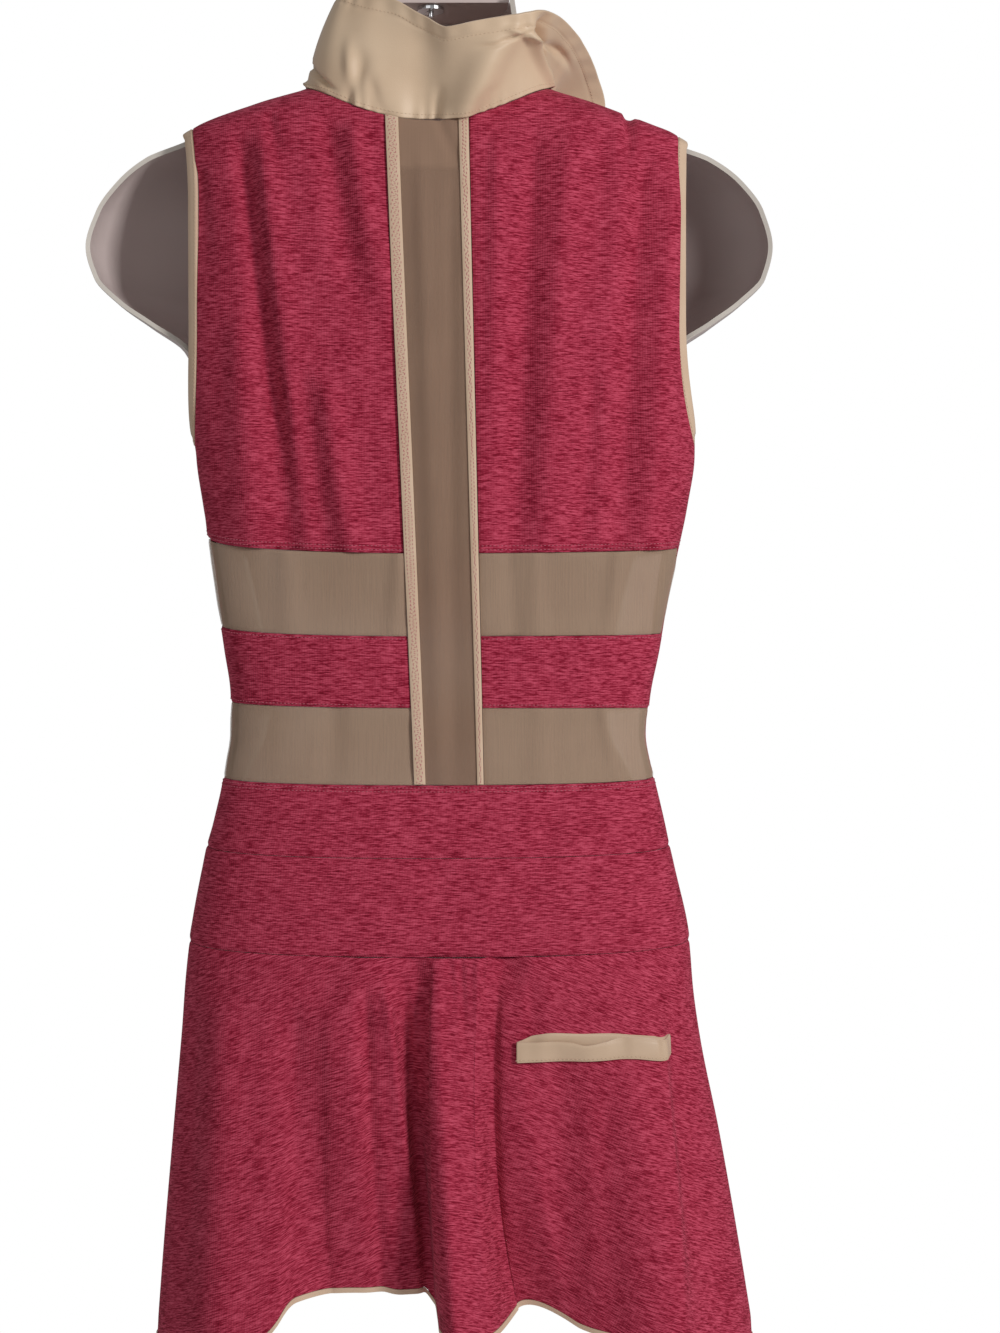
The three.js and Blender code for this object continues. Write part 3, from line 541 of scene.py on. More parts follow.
# Folds that hang in the bodice and the yokes, by face. Each runs down from z_top to z_foot
# through three x; before and after are how far it reaches to its left and its right.
BODICE_FOLDS = table(
    "face x_top x_mid x_foot z_top z_foot before after out",
    (-1, -127, -108, -92, -172, -480, 7, 10, -6.0),
    (-1, -104, -93, -86, -330, -560, 14, 11, -4.9),
    (-1, -110, -92, -74, -170, -500, 9, 11, 4.9),
    (-1, -107, -102, -99, -166, -212, 3, 5, -3.1),
    (-1, -68, -56, -38, -166, -330, 9, 10, -4.4),
    (-1, -50, -38, -20, -168, -330, 9, 10, 4.2),
    (-1, -84, -72, -50, -330, -530, 9, 9, -4.4),
    (-1, -66, -54, -30, -340, -530, 9, 10, 4.2),
    (-1, -125, -118, -112, -290, -560, 14, 13, 4.2),
    (-1, -154, -150, -146, -196, -300, 8, 8, -2.1),
    (-1, 72, 61, 55, -160, -600, 10, 10, -5.2),
    (-1, 96, 82, 76, -160, -560, 10, 12, 3.9),
    (-1, 118, 112, 108, -170, -330, 10, 10, -2.3),
    (-1, 146, 131, 122, -175, -600, 11, 10, -6.5),
    (-1, 164, 152, 144, -185, -600, 9, 12, 5.2),
    (-1, 110, 104, 99, -325, -560, 9, 9, -3.6),
    (-1, 134, 133, 131, -160, -212, 4, 4, -4.4),
    (-1, 46, 44, 40, -176, -440, 6, 8, 2.6),
    (1, -96, -88, -74, -160, -330, 8, 12, -3.4),
    (1, -120, -116, -108, -165, -300, 9, 9, 2.2),
    (1, 92, 86, 72, -160, -320, 12, 8, -3.2),
    (1, 118, 114, 106, -168, -320, 8, 9, 2.0),
    (1, -34, -48, -66, -340, -560, 14, 16, -2.6),
    (1, 40, 52, 60, -350, -590, 15, 13, -2.4),
    (1, -92, -96, -98, -400, -600, 13, 15, 2.2),
    (1, 100, 104, 104, -410, -605, 14, 12, 2.0),
)


def hanging(folds, face, x, z):
    """How far a table's folds push the cloth out at a place."""
    total = np.zeros_like(x)
    for k in np.flatnonzero(folds["face"] == face):
        f = {name: values[k] for name, values in folds.items()}
        t = np.clip((f["z_top"] - z) / (f["z_top"] - f["z_foot"]), 0, 1)
        middle = 2 * f["x_mid"] - (f["x_top"] + f["x_foot"]) / 2
        away = x - (f["x_top"] * (1 - t) ** 2 + 2 * middle * t * (1 - t) + f["x_foot"] * t * t)
        reach = np.where(away < 0, f["before"], f["after"]) * (0.7 + 0.6 * t)
        fade = step_between(0, 0.12, t) * step_between(1, 0.45, t)
        total += f["out"] * fade * np.exp(-((away / reach) ** 2))
    return total


def swell(x, z, seed):
    """The unevenness of cloth that hangs free: a few long, low waves."""
    rng = np.random.default_rng(seed)
    total = np.zeros_like(x)
    for _ in range(SWELL_WAVES):
        across, down, phase = rng.uniform(35, 110), rng.uniform(120, 420), rng.uniform(0, 2 * math.pi)
        total += np.sin(x / across * 2 + z / down * 2 + phase) * rng.uniform(0.12, 0.4)
    return total


def normals_of(points):
    """Unit normals of a grid, pointing away from the hanging axis."""
    du, dv = np.gradient(points, axis=0), np.gradient(points, axis=1)
    normals = unit(np.cross(du, dv))
    outwards = points - (0, -SEAT_Y, 0)
    outwards[..., 2] = 0
    return normals if (normals * outwards).sum() > 0 else -normals


OUTER_FACES = {}            # each cloth piece's outer face, that its sewing is laid on


def crowded(count, margin=1.0, length=100.0):
    """Steps from 0 to 1 with close ones near both ends, where a seam rolls the cloth's edge in."""
    near = np.array([0, 0.35, 0.75, 1.3, 2.0, 3.0]) * margin / length
    inside = np.linspace(near[-1], 1 - near[-1], count)[1:-1]
    return np.concatenate([near, inside, 1 - near[::-1]])


def cloth_panel(name, node, surface, face, place, size, wall, material, folds=None, seed=1, lift=0,
                roll=0.8, slant=0, rolled=(True, True, True, True), turned=0):
    """A panel of cloth on a surface: its folds, its rolled-in seam edges, its wall and its cut."""
    (nu, length_u), (nv, length_v) = size
    us, vs = crowded(nu, length=length_u), crowded(nv, length=length_v)
    u, v = np.meshgrid(us, vs, indexing="ij")
    q, z = place(u, v)
    flat = surface(face, q, z)
    push = np.full_like(z, float(lift))
    if folds is not None:
        push += hanging(folds, face, flat[..., 0], z)
    ends = step_between(0, SWELL_FADE, np.minimum.reduce([v * length_v, (1 - v) * length_v]))
    push += swell(flat[..., 0], z, seed) * ends * (1 if lift == 0 else 0)
    near = (u * length_u, (1 - u) * length_u, v * length_v, (1 - v) * length_v)
    for edge, wanted in zip(near, rolled):
        if wanted:
            push -= roll * np.exp(-((edge / ROLL_REACH) ** 2))
    points = flat + normals_of(flat) * push[..., None]
    inner = points - normals_of(points) * wall
    steps_u = np.linalg.norm(np.diff(points, axis=0)[..., :2], axis=-1)
    run = np.concatenate([np.zeros((1, steps_u.shape[1])), np.cumsum(steps_u, axis=0)])
    sign = 1 if flat[-1, 0, 0] > flat[0, 0, 0] else -1
    across = flat[:1, :, 0] + sign * run
    grain = flat[..., 2] + slant * np.sqrt(flat[..., 0] ** 2 + SLANT_EASE ** 2)
    piece = shell(name, points, inner, material, uv=np.stack([across, grain], -1))
    OUTER_FACES[name] = points
    declare(piece, node, points, turned=turned)
    return piece


# The frame takes no sheet narrower than 10 mm and no area under 0.3 of the cut's rectangle. A narrow piece's
# turned is a guess that makes it at least 10 mm wide, and a piece's area is taken as no less than this share
# of its cut's rectangle. Neither is a measure of the real cut, and a real fold-over binding is cut wider.
LEAST_AREA_SHARE = 0.32


def declare(piece, node, points, turned=0):
    """Attaches a cloth piece to the root and hides its part, and works out its outer face's width, length and
    area laid flat, with turned mm more on its width; nothing more is done with them.
    """
    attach(piece, "root")
    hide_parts(node)
    across, down = np.diff(points, axis=0), np.diff(points, axis=1)
    width = np.linalg.norm(across, axis=-1).sum(0).max() * MM
    length = np.linalg.norm(down, axis=-1).sum(1).max() * MM
    area = np.linalg.norm(np.cross(across[:, :-1], down[:-1]), axis=-1).sum() * MM * MM
    if width < length:
        width += turned * MM
    else:
        length += turned * MM
    area = float(np.clip(area, LEAST_AREA_SHARE * width * length, width * length))


def heather_finish():
    """Jersey knitted from a dyed and a paler yarn: short dashes of both run along the courses."""
    finish = Finish("heather_jersey")
    cloth = finish.node("UVMap", {"uv_map": "Cloth"})
    dash = finish.noise(finish.scaled(cloth, 95, 1050), 3, 0.6)
    fleck = finish.noise(finish.scaled(cloth, 260, 2300), 2, 0.6)
    patch = finish.noise(finish.scaled(cloth, 34, 60), 2)
    worn = finish.noise(finish.scaled(cloth, 7, 9), 1)
    pale = ((dash - 0.5) * 3.4 + (fleck - 0.5) * 2.6 + (patch - 0.5) * 0.5 + 0.32).math("ADD", 0, clamp=True)
    deep = ((0.5 - dash) * 3.0 + (0.5 - fleck) * 2.6 + (0.5 - patch) * 0.6 + 0.12).math("ADD", 0, clamp=True)
    ground = finish.blend(worn, linear(*JERSEY_MID), linear(*JERSEY_WARM))
    colour = finish.blend(deep, finish.blend(pale, ground, linear(*JERSEY_PALE)), linear(*JERSEY_DEEP))
    courses = finish.noise(finish.scaled(cloth, 300, 1900), 2)
    wales = finish.node("SeparateXYZ", {}, {0: finish.scaled(cloth, 3600, 1)}).math("SINE")
    height = dash * 0.5 + courses * 0.6 + wales * 0.12
    return finish.paint(
        Base_Color=colour,
        Roughness=0.82 + fleck * 0.12,
        Normal=finish.bump(height, 0.00045, 0.75),
        Sheen_Weight=0.08,
        Sheen_Roughness=0.45,
        Sheen_Tint=(1.0, 0.55, 0.66, 1),
        Specular_IOR_Level=0.12,
    )


heather = heather_finish()

for side, side_name in SIDES.items():
    def back_inner(z, side=side):
        return strip_edge(side, z) + side * HALF_GAP

    def front_inner(z, side=side):
        return front_edge(side, z)

    cloth_panel(
        f"back_{side_name}_panel", f"back_{side_name}", torso, -1,
        bodice_place(side, -1, "bodice", back_inner), ((84, 150), (130, 300)),
        JERSEY_WALL, heather, BODICE_FOLDS, seed=11 + side,
    )
    cloth_panel(
        f"front_{side_name}_panel", f"front_{side_name}", torso, 1,
        bodice_place(side, 1, "waist", front_inner), ((84, 190), (150, 450)),
        JERSEY_WALL, heather, BODICE_FOLDS, seed=15 + side,
        rolled=(False, True, True, True),
    )

# The see-through insets and the centre strip ----------------------------------------------
# Cream power mesh: two insets on each side of the back with a jersey band between them, and
# a long strip down the centre back. It is sheer, so the form shows through it, but for the
# strip's top, where a second layer is laid under it.

MESH_WALL = 0.7
STRIP_DOUBLE = -207         # foot of the second layer behind the strip's top


def mesh_finish(name, cream, warm, closeness):
    """Power mesh: a fine net of cream yarn with an even row of holes, sheer but for its double part."""
    finish = Finish(name)
    cloth = finish.node("UVMap", {"uv_map": "Cloth"})
    double = finish.node("Attribute", {"attribute_name": "double"}).output("Fac")
    split = finish.node("SeparateXYZ", {}, {0: finish.scaled(cloth, 5200, 5200)})
    across, down = split, split.output("Y")
    net = (across.math("SINE") * down.math("SINE")).math("ABSOLUTE")
    ribs = finish.noise(finish.scaled(cloth, 900, 26), 1)
    cloud = finish.noise(finish.scaled(cloth, 30, 22), 2)
    colour = finish.blend(cloud, linear(*cream), linear(*warm))
    cover = closeness + ribs * 0.1 + net * 0.12 + double * 0.2
    return finish.paint(
        Base_Color=colour,
        Roughness=0.72,
        Alpha=cover.math("ADD", 0, clamp=True),
        Normal=finish.bump(net + ribs, 0.0002, 0.5),
        Sheen_Weight=0.2,
        Specular_IOR_Level=0.3,
    )


# Soft folds in the sheer pieces.
MESH_FOLDS = table(
    "face x_top x_mid x_foot z_top z_foot before after out",
    (-1, -6, 4, 14, -170, -800, 6, 8, 2.0),
    (-1, 16, 16, 20, -180, -800, 5, 6, -1.6),
    (-1, 4, 14, 24, -168, -215, 4, 5, -1.6),
    (-1, -18, -22, -26, -440, -560, 5, 7, 1.8),
    (-1, 52, 56, 58, -440, -560, 6, 6, -1.8),
    (-1, 70, 72, 76, -440, -560, 6, 6, 1.6),
    (-1, 128, 123, 118, -440, -540, 6, 7, 2.6),
    (-1, 113, 122, 134, -540, -640, 6, 7, 2.6),
    (-1, -60, -64, -66, -540, -660, 9, 9, -1.6),
    (-1, -96, -92, -90, -440, -560, 9, 9, 1.6),
    (-1, 74, 74, 74, -540, -660, 9, 9, 1.4),
)
power_mesh = mesh_finish("power_mesh", (200, 170, 144), (186, 155, 130), 0.4)
# The strip gets a darker copy of the same cream mesh: painted shade, for the shaded hollow of the form it
# lies over.
shaded_strip_mesh = mesh_finish("shaded_strip_mesh", (176, 142, 118), (160, 128, 106), 0.42)


def inset_place(side, top_seam, foot_seam):
    def place(u, v):
        def height(seam):
            level = np.float64(SEAMS[seam][1])
            edge = place_of(-1, strip_edge(side, SEAMS[seam][1]) + side * HALF_GAP, level)
            return seam_height(-1, seam, mix(edge, side, u))

        z = mix(height(foot_seam) + HALF_GAP, height(top_seam) - HALF_GAP, v)
        return mix(place_of(-1, strip_edge(side, z) + side * HALF_GAP, z), side, u), z

    return place


for side, side_name in SIDES.items():
    for name, *seams in (("mesh_upper", "bodice", "band_top"), ("mesh_lower", "band_foot", "waist")):
        cloth_panel(
            f"{name}_{side_name}_inset", f"{name}_{side_name}", torso, -1, inset_place(side, *seams),
            ((70, 130), (24, 50)), MESH_WALL, power_mesh, MESH_FOLDS, seed=21 + side, roll=0.5,
        )
    cloth_panel(
        f"waist_band_{side_name}", f"band_{side_name}", torso, -1,
        inset_place(side, "band_top", "band_foot"), ((70, 130), (26, 50)),
        JERSEY_WALL, heather, seed=25 + side, lift=0.5,
    )


def strip_place(from_x, to_x):
    def place(u, v):
        guess = mix(from_x(NECK_LOW[-1]), to_x(NECK_LOW[-1]), u)
        waist_z = np.float64(SEAMS["waist"][1])
        foot = seam_height(-1, "waist", place_of(-1, guess, waist_z + 0 * guess)) + HALF_GAP
        z = mix(foot, neck_height(-1, guess) - HALF_GAP, v)
        return place_of(-1, mix(from_x(z), to_x(z), u), z), z

    return place


cloth_panel(
    "centre_strip", "back_strip", torso, -1,
    strip_place(lambda z: strip_edge(-1, z) + HALF_GAP, lambda z: strip_edge(1, z) - HALF_GAP),
    ((22, 50), (150, 440)), MESH_WALL, shaded_strip_mesh, MESH_FOLDS, seed=31, roll=0.3,
)
strip = bpy.data.objects["centre_strip"]
heights = np.array([v.co.z for v in strip.data.vertices]) / MM
doubled = step_between(STRIP_DOUBLE - 1.5, STRIP_DOUBLE + 1.5, heights)
layer = strip.data.attributes.new("double", "FLOAT", "POINT")
layer.data.foreach_set("value", doubled.astype(np.float32))

# The tapes along the strip ---------------------------------------------------------------
# Folded cream binding, laid over the strip's two seams from the neck to the waist. A narrow
# zigzag in rose thread holds it down.

TAPE_WALL = 0.9
TAPE_WIDTH = {-1: (8.5, 7.5), 1: (6.5, 4.2)}            # at the top and at the foot
TAPE_LIFT = 1.5
TAPE_TURNED = 4             # guessed, as is each other TURNED: see declare
BINDING_CREAM = (222, 196, 170)
BINDING_WARM = (204, 172, 144)


def binding_finish():
    """Fold-over binding: a smooth woven tape with fine ribs along it."""
    finish = Finish("cream_binding")
    place = finish.place()
    weave = finish.noise(finish.scaled(place, 900, 900, 900), 2)
    cloud = finish.noise(finish.scaled(place, 60, 60, 40), 2)
    return finish.paint(
        Base_Color=finish.blend(cloud, linear(*BINDING_CREAM), linear(*BINDING_WARM)),
        Roughness=0.62 + weave * 0.15,
        Normal=finish.bump(weave, 0.00025, 0.6),
        Sheen_Weight=0.15,
        Specular_IOR_Level=0.35,
    )


binding = binding_finish()


def tape_edge(side, z, inset):
    t = (z - NECK_LOW[-1]) / (SEAMS["waist"][1] - NECK_LOW[-1])
    return strip_edge(side, z) - side * (HALF_GAP + inset * mix(*TAPE_WIDTH[side], t))


for side, side_name in SIDES.items():
    cloth_panel(
        f"seam_tape_{side_name}", f"tape_{side_name}", torso, -1,
        strip_place(lambda z: tape_edge(side, z, 1), lambda z: tape_edge(side, z, 0)),
        ((6, 8), (150, 440)), TAPE_WALL, binding, seed=33, lift=TAPE_LIFT, roll=0.45,
        turned=TAPE_TURNED,
    )

# The two yokes -----------------------------------------------------------------------------
# Bands of the same jersey round the waist and the hips, behind and in front, each a little
# proud of the one above it where its seam allowance lies inside.


def girdle_place(face, top_seam, foot_seam):
    def place(u, v):
        q = mix(-1, 1, u)
        foot = seam_height(face, foot_seam, q) + HALF_GAP
        return q, mix(foot, seam_height(face, top_seam, q) - HALF_GAP, v)

    return place


YOKE_FOLDS = table(
    "face x_top x_mid x_foot z_top z_foot before after out",
    (-1, 84, 78, 60, -612, -700, 12, 10, -0.9),
    (-1, 10, 6, 4, -655, -722, 12, 10, -0.8),
    (-1, 34, 36, 40, -650, -722, 8, 9, 0.9),
    (-1, -60, -66, -70, -640, -712, 14, 14, -0.7),
    (-1, 120, 128, 134, -660, -716, 12, 12, 0.8),
    (1, -48, -52, -58, -620, -712, 14, 14, -0.9),
    (1, 58, 60, 64, -615, -712, 14, 14, 0.9),
)
FACES = {-1: "back", 1: "front"}
for face, face_name in FACES.items():
    for name, *seams, length in (("upper", "waist", "yoke", 46), ("lower", "yoke", "skirt", 62)):
        cloth_panel(
            f"{name}_yoke_{face_name}", f"yoke_{name}_{face_name}", torso, face,
            girdle_place(face, *seams), ((150, 420), (26, length)),
            JERSEY_WALL, heather, YOKE_FOLDS, seed=41 + face,
        )

# The skirt -----------------------------------------------------------------------------------
# A flared skirt of the same jersey, cut so that its courses slope down to the sides. It is
# gathered a little at the centre back and falls from there in a few deep, uneven folds.

BACK_FOLDS = table(
    "at_top at_mid at_hem out_top out_mid out_hem",
    (-1, -1, -1, 0, 0, 0),
    (-0.74, -0.71, -0.67, 0, 8, 24),
    (-0.54, -0.53, -0.5, 0, 5, 20),
    (-0.405, -0.39, -0.335, 0, -6, -24),
    (-0.245, -0.24, -0.16, 2, 1, -26),
    (-0.05, -0.025, 0.02, -2, -15, -30),
    (0.045, 0.07, 0.09, 4, 12, 28),
    (0.193, 0.163, 0.19, 4, 9, 19),
    (0.295, 0.235, 0.31, -6, -12, -24),
    (0.4, 0.367, 0.466, 2, 2, 4),
    (0.66, 0.69, 0.74, 0, 8, 29),
    (0.86, 0.85, 0.89, 0, -1, 9),
    (1, 1, 1, 0, 0, 0),
)
FRONT_FOLDS = table(
    "at_top at_mid at_hem out_top out_mid out_hem",
    (-1, -1, -1, 0, 0, 0),
    (-0.77, -0.75, -0.745, 0, 5, 16),
    (-0.515, -0.5, -0.475, 0, -5, -17),
    (-0.27, -0.24, -0.195, 0, 6, 20),
    (0.01, 0.03, 0.045, 0, -6, -19),
    (0.26, 0.255, 0.265, 0, 5, 18),
    (0.52, 0.51, 0.5, 0, -5, -16),
    (0.76, 0.735, 0.73, 0, 5, 15),
    (1, 1, 1, 0, 0, 0),
)
FOLDS = {-1: BACK_FOLDS, 1: FRONT_FOLDS}
FOLD_SPREAD = 0.35
HEM_BINDING = 3.4
HEM_TURNED = 6.8
HEM_WALL = 1.6
HEM_ARCH_WIDE, HEM_ARCH_SMALL, HEM_SIDE_DROP = 19, 13, 13
STREAK_SLOPE = 0.42         # how steeply the courses fall towards the skirt's sides


def folds_at(face, z):
    """The fold table at each height: a row's place across the skirt and how far it stands out."""
    t = np.clip((z - SEAMS["skirt"][0]) / (SEAMS["hem"][0] - SEAMS["skirt"][0]), 0, 1)
    folds = {name: values.reshape((-1,) + (1,) * t.ndim) for name, values in FOLDS[face].items()}

    def bend(name):
        top, middle, hem = (folds[f"{name}_{level}"] for level in ("top", "mid", "hem"))
        return top * (1 - t) * (1 - 2 * t) + 4 * middle * t * (1 - t) + hem * t * (2 * t - 1)

    return bend("at"), bend("out")


def skirt_surface(face, q, z):
    across = np.sin(q * HALF_PI)
    facing = np.sqrt(np.maximum(np.cos(q * HALF_PI), 0))
    out = column(*folds_at(face, z), across)
    return torso(face, q, z) + np.stack([out * across * FOLD_SPREAD, face * out * facing, 0 * out], -1)


def skirt_place(face, height_at):
    """place(u, v) whose columns run along the folds; height_at(hem_q, top_q, v) is a point's height."""
    folds = FOLDS[face]

    def place(u, v):
        last = len(folds["at_top"]) - 1
        row = np.minimum((u * last).astype(int), last - 1)
        share = u * last - row

        def q_of(levels):
            if levels.ndim == 1:
                low, high = levels[row], levels[row + 1]
            else:
                low, high = (np.take_along_axis(levels, k[None], 0)[0] for k in (row, row + 1))
            return np.arcsin(np.clip(mix(low, high, share), -1, 1)) / HALF_PI

        z = height_at(q_of(folds["at_hem"]), q_of(folds["at_top"]), v)
        return q_of(folds_at(face, z)[0]), z

    return place


SKIRT_FOLDS = table(
    "face x_top x_mid x_foot z_top z_foot before after out",
    (-1, 5, 9, 17, -722, -1080, 3, 8, 5.0),
    (-1, 34, 32, 44, -724, -1080, 9, 8, -3.0),
    (-1, 52, 54, 72, -724, -1080, 8, 10, 4.6),
    (-1, 68, 68, 76, -730, -900, 6, 9, -2.4),
    (-1, -40, -31, -20, -730, -1080, 9, 6, -6.2),
    (-1, -28, -15, 2, -730, -1000, 5, 5, 5.5),
    (-1, -15, -2, 8, -732, -1080, 5, 3, -4.6),
    (-1, -62, -60, -56, -740, -1080, 12, 13, 4.0),
    (-1, -88, -84, -80, -740, -1080, 14, 11, -4.0),
    (-1, -132, -136, -142, -740, -1080, 16, 16, 3.6),
    (-1, -156, -160, -170, -740, -1080, 10, 10, -2.4),
    (-1, 86, 90, 96, -770, -1080, 18, 22, -7.0),
    (-1, 148, 158, 170, -750, -1080, 30, 8, 9.5),
    (-1, 116, 120, 126, -800, -1080, 10, 12, -2.4),
    (-1, 22, 24, 27, -722, -800, 3, 3, -1.8),
    (-1, 33, 33, 34, -722, -790, 3, 3, 1.5),
    (-1, 41, 40, 39, -723, -775, 3, 3, -1.6),
    (-1, 14, 17, 19, -722, -770, 3, 3, -1.2),
    (1, -110, -118, -128, -760, -975, 10, 8, 2.6),
    (1, -70, -74, -80, -745, -960, 8, 9, -2.6),
    (1, -22, -26, -34, -740, -965, 8, 7, 2.6),
    (1, 24, 30, 38, -750, -965, 8, 8, -2.8),
    (1, 66, 76, 88, -745, -970, 9, 8, 2.4),
    (1, 118, 130, 142, -760, -970, 9, 10, -2.4),
)


def skirt_foot(q, face):
    """The hem's height: it swings up in two arches beside the back's middle ridge."""
    left, centre, right = SEAMS["hem"]
    across = np.sin(q * HALF_PI)
    wide = HEM_ARCH_WIDE * step_between(-0.56, -0.44, across) * step_between(0.05, 0.0, across)
    wide += 3 * np.sin((across + 0.5) * 9) * np.exp(-(((across + 0.24) / 0.22) ** 2))
    small = HEM_ARCH_SMALL * np.exp(-(((across - 0.35) / 0.085) ** 2))
    low = (
        4 * np.exp(-(((across - 0.13) / 0.07) ** 2))
        + HEM_SIDE_DROP * np.exp(-(((np.abs(across) - 0.85) / 0.2) ** 2))
    )
    return mix(centre, np.where(q < 0, left, right), q * q) + (wide + small - low if face < 0 else 0)


for face, face_name, columns in ((-1, "back", 260), (1, "front", 190)):
    def skirt_height(hem_q, top_q, v, face=face):
        foot = skirt_foot(hem_q, face) + HEM_BINDING + SEAM_GAP
        return mix(foot, seam_height(face, "skirt", top_q) - HALF_GAP, v)

    cloth_panel(
        f"skirt_{face_name}_panel", f"skirt_{face_name}", skirt_surface, face,
        skirt_place(face, skirt_height), ((columns, 560), (96, 250)),
        JERSEY_WALL, heather, SKIRT_FOLDS, seed=51 + face,
        slant=STREAK_SLOPE, rolled=(True, True, False, True),
    )
    cloth_panel(
        f"hem_binding_{face_name}", f"hem_{face_name}", skirt_surface, face,
        skirt_place(face, lambda hem_q, top_q, v, face=face: skirt_foot(hem_q, face) + HEM_BINDING * v),
        ((columns, 560), (4, 30)), HEM_WALL, binding, SKIRT_FOLDS, seed=51 + face, lift=0.25,
        roll=0, turned=HEM_TURNED,
    )

# The back pocket ---------------------------------------------------------------------------
# A slit pocket on the right of the skirt's back: a cream woven welt, whose upper edge gapes a
# little, and the strip of its facing that shows above it.

WELT = {"left": 60, "right": 158.5, "top": -779, "foot": -792}
WOVEN_WALL = 1.0
FACING_DEEP, FACING_TURNED = 8.5, 4


def satin_finish(name, light, shade):
    """Closely woven cream microfibre: a soft sheen and a fine plain weave."""
    finish = Finish(name)
    place = finish.place()
    cloud = finish.noise(finish.scaled(place, 22, 22, 22), 3)
    weave = finish.noise(finish.scaled(place, 1500, 1500, 1500), 2)
    slub = finish.noise(finish.scaled(place, 120, 120, 900), 2)
    return finish.paint(
        Base_Color=finish.blend(cloud, linear(*light), linear(*shade)),
        Roughness=0.4 + weave * 0.12 + slub * 0.06,
        Normal=finish.bump(weave + slub * 0.5, 0.00012, 0.6),
        Sheen_Weight=0.3,
        Sheen_Roughness=0.35,
        Specular_IOR_Level=0.45,
    )


satin = satin_finish("cream_satin", (230, 204, 174), (206, 176, 146))
# The pocket's welt and facing get a darker copy of the collar's cream satin: painted shade.
shaded_pocket_satin = satin_finish("shaded_pocket_satin", (214, 186, 158), (188, 158, 132))


# Across the pocket: how far the welt's two edges and the facing's top stray, and how far it gapes.
POCKET = table(
    "u top foot out facing",
    (0, 0.4, -0.2, 0.4, 0),
    (0.1, 0.2, 0, 2.0, 4.2),
    (0.2, 0.6, 0.2, 0.9, 5.2),
    (0.33, -0.2, 0.4, 2.3, 5.6),
    (0.43, -2.4, 0.2, 3.0, 7.4),
    (0.55, -0.4, 0.6, 2.3, 5.4),
    (0.66, 2.0, 1.3, 0.5, 2.4),
    (0.72, 1.5, 1.0, 1.9, 2.0),
    (0.85, -0.4, -1.0, 3.1, 2.4),
    (0.9, -0.8, -1.4, 0.9, 2.2),
    (1, 1.6, 1.2, 0.3, 0.6),
)


def pocket_piece(name, node, foot_drop, top_lift, out_share, lift, turned=0):
    us, vs = np.linspace(0, 1, 161), crowded(14, length=30)
    u, v = np.meshgrid(us, vs, indexing="ij")
    stray = {key: column(POCKET["u"], POCKET[key], u) for key in ("top", "foot", "out", "facing")}
    top = WELT["top"] + stray["top"] + top_lift * stray["facing"]
    foot = top - foot_drop if foot_drop else WELT["foot"] + stray["foot"]
    x, z = mix(WELT["left"], WELT["right"], u), mix(foot, top, v)
    skin = skirt_surface(-1, place_of(-1, x, z), z)
    push = hanging(SKIRT_FOLDS, -1, skin[..., 0], z) + lift + out_share * stray["out"] * (0.4 + 0.6 * v)
    for edge in (v, 1 - v):
        push -= 0.5 * np.exp(-((edge * 10) ** 2))
    points = skin + normals_of(skin) * push[..., None]
    inner = points - normals_of(points) * WOVEN_WALL
    piece = shell(name, points, inner, shaded_pocket_satin, uv=np.stack([x, z], -1))
    OUTER_FACES[name] = points
    declare(piece, node, points, turned=turned)


pocket_piece(
    "pocket_facing_strip", "pocket_facing",
    foot_drop=FACING_DEEP, top_lift=1, out_share=0.1, lift=1.3, turned=FACING_TURNED,
)
pocket_piece("pocket_welt_band", "pocket_welt", foot_drop=0, top_lift=0, out_share=1, lift=2.6)

# The armhole bindings ------------------------------------------------------------------------
# A cream fold-over binding round each armhole, eight millimetres wide, stitched edge to edge
# with the bodice panels and rounded over at its free edge.

ARM_BAND_WIDTH, ARM_BAND_GAP, ARM_BAND_WALL = 8, 0.45, 2.0
ARM_BAND_TURNED = 8
TURN_STEP = 0.004           # how far apart in q two points are that give the cloth's direction
edge_steps = np.linspace(0, 1, 111)
for side, side_name in SIDES.items():
    rows = []
    for face, seam, run in ((-1, "bodice", edge_steps[:-1]), (1, "waist", edge_steps[:0:-1])):
        q, z = outer_edge(side, face, SEAMS[seam][1 + side], mix(*CORNERS[face], run))
        point = torso(face, q, z)
        across = torso(face, q + TURN_STEP, z) - torso(face, q - TURN_STEP, z)
        down = torso(face, q, z - 0.5) - torso(face, q, z + 0.5)
        normal = unit(np.cross(across, down)) * face
        rows.append(np.stack([point, normal], 1))
    point, normal = np.concatenate(rows).transpose(1, 0, 2)
    ahead = np.roll(point, -1, 0) - np.roll(point, 1, 0)
    over = unit(np.cross(ahead, normal))
    upward = np.where(point[:, 2] < ARM_SWING, 1, 0)
    out_way = np.stack([np.full(len(point), float(side)), 0 * point[:, 0], upward], -1)
    over *= np.where((over * out_way).sum(-1) < 0, -1, 1)[:, None]
    # Across the band: where its lines of points lie and how far each stands off the cloth.
    widths = np.array([0, 0.06, 0.15, 0.5, 0.85, 0.94, 1.0])
    lifts = np.array([-0.35, 0.1, 0.3, 0.45, 0.35, 0.05, -0.5])
    spread = point[:, None] + over[:, None] * (ARM_BAND_GAP + ARM_BAND_WIDTH * widths)[None, :, None]
    outer = spread + normal[:, None] * lifts[None, :, None]
    inner = spread - normal[:, None] * (ARM_BAND_WALL - 0.3)
    band = shell(f"armhole_band_{side_name}", outer, inner, binding, loop=True)
    OUTER_FACES[f"armhole_band_{side_name}"] = outer
    declare(band, f"armhole_binding_{side_name}", outer, turned=ARM_BAND_TURNED)

# The collar ----------------------------------------------------------------------------------
# A tall stand collar of the cream woven cloth, hemmed at its upper edge and eased onto the
# neckline, so that it puckers there. Its right half has fallen outwards over the shoulder.

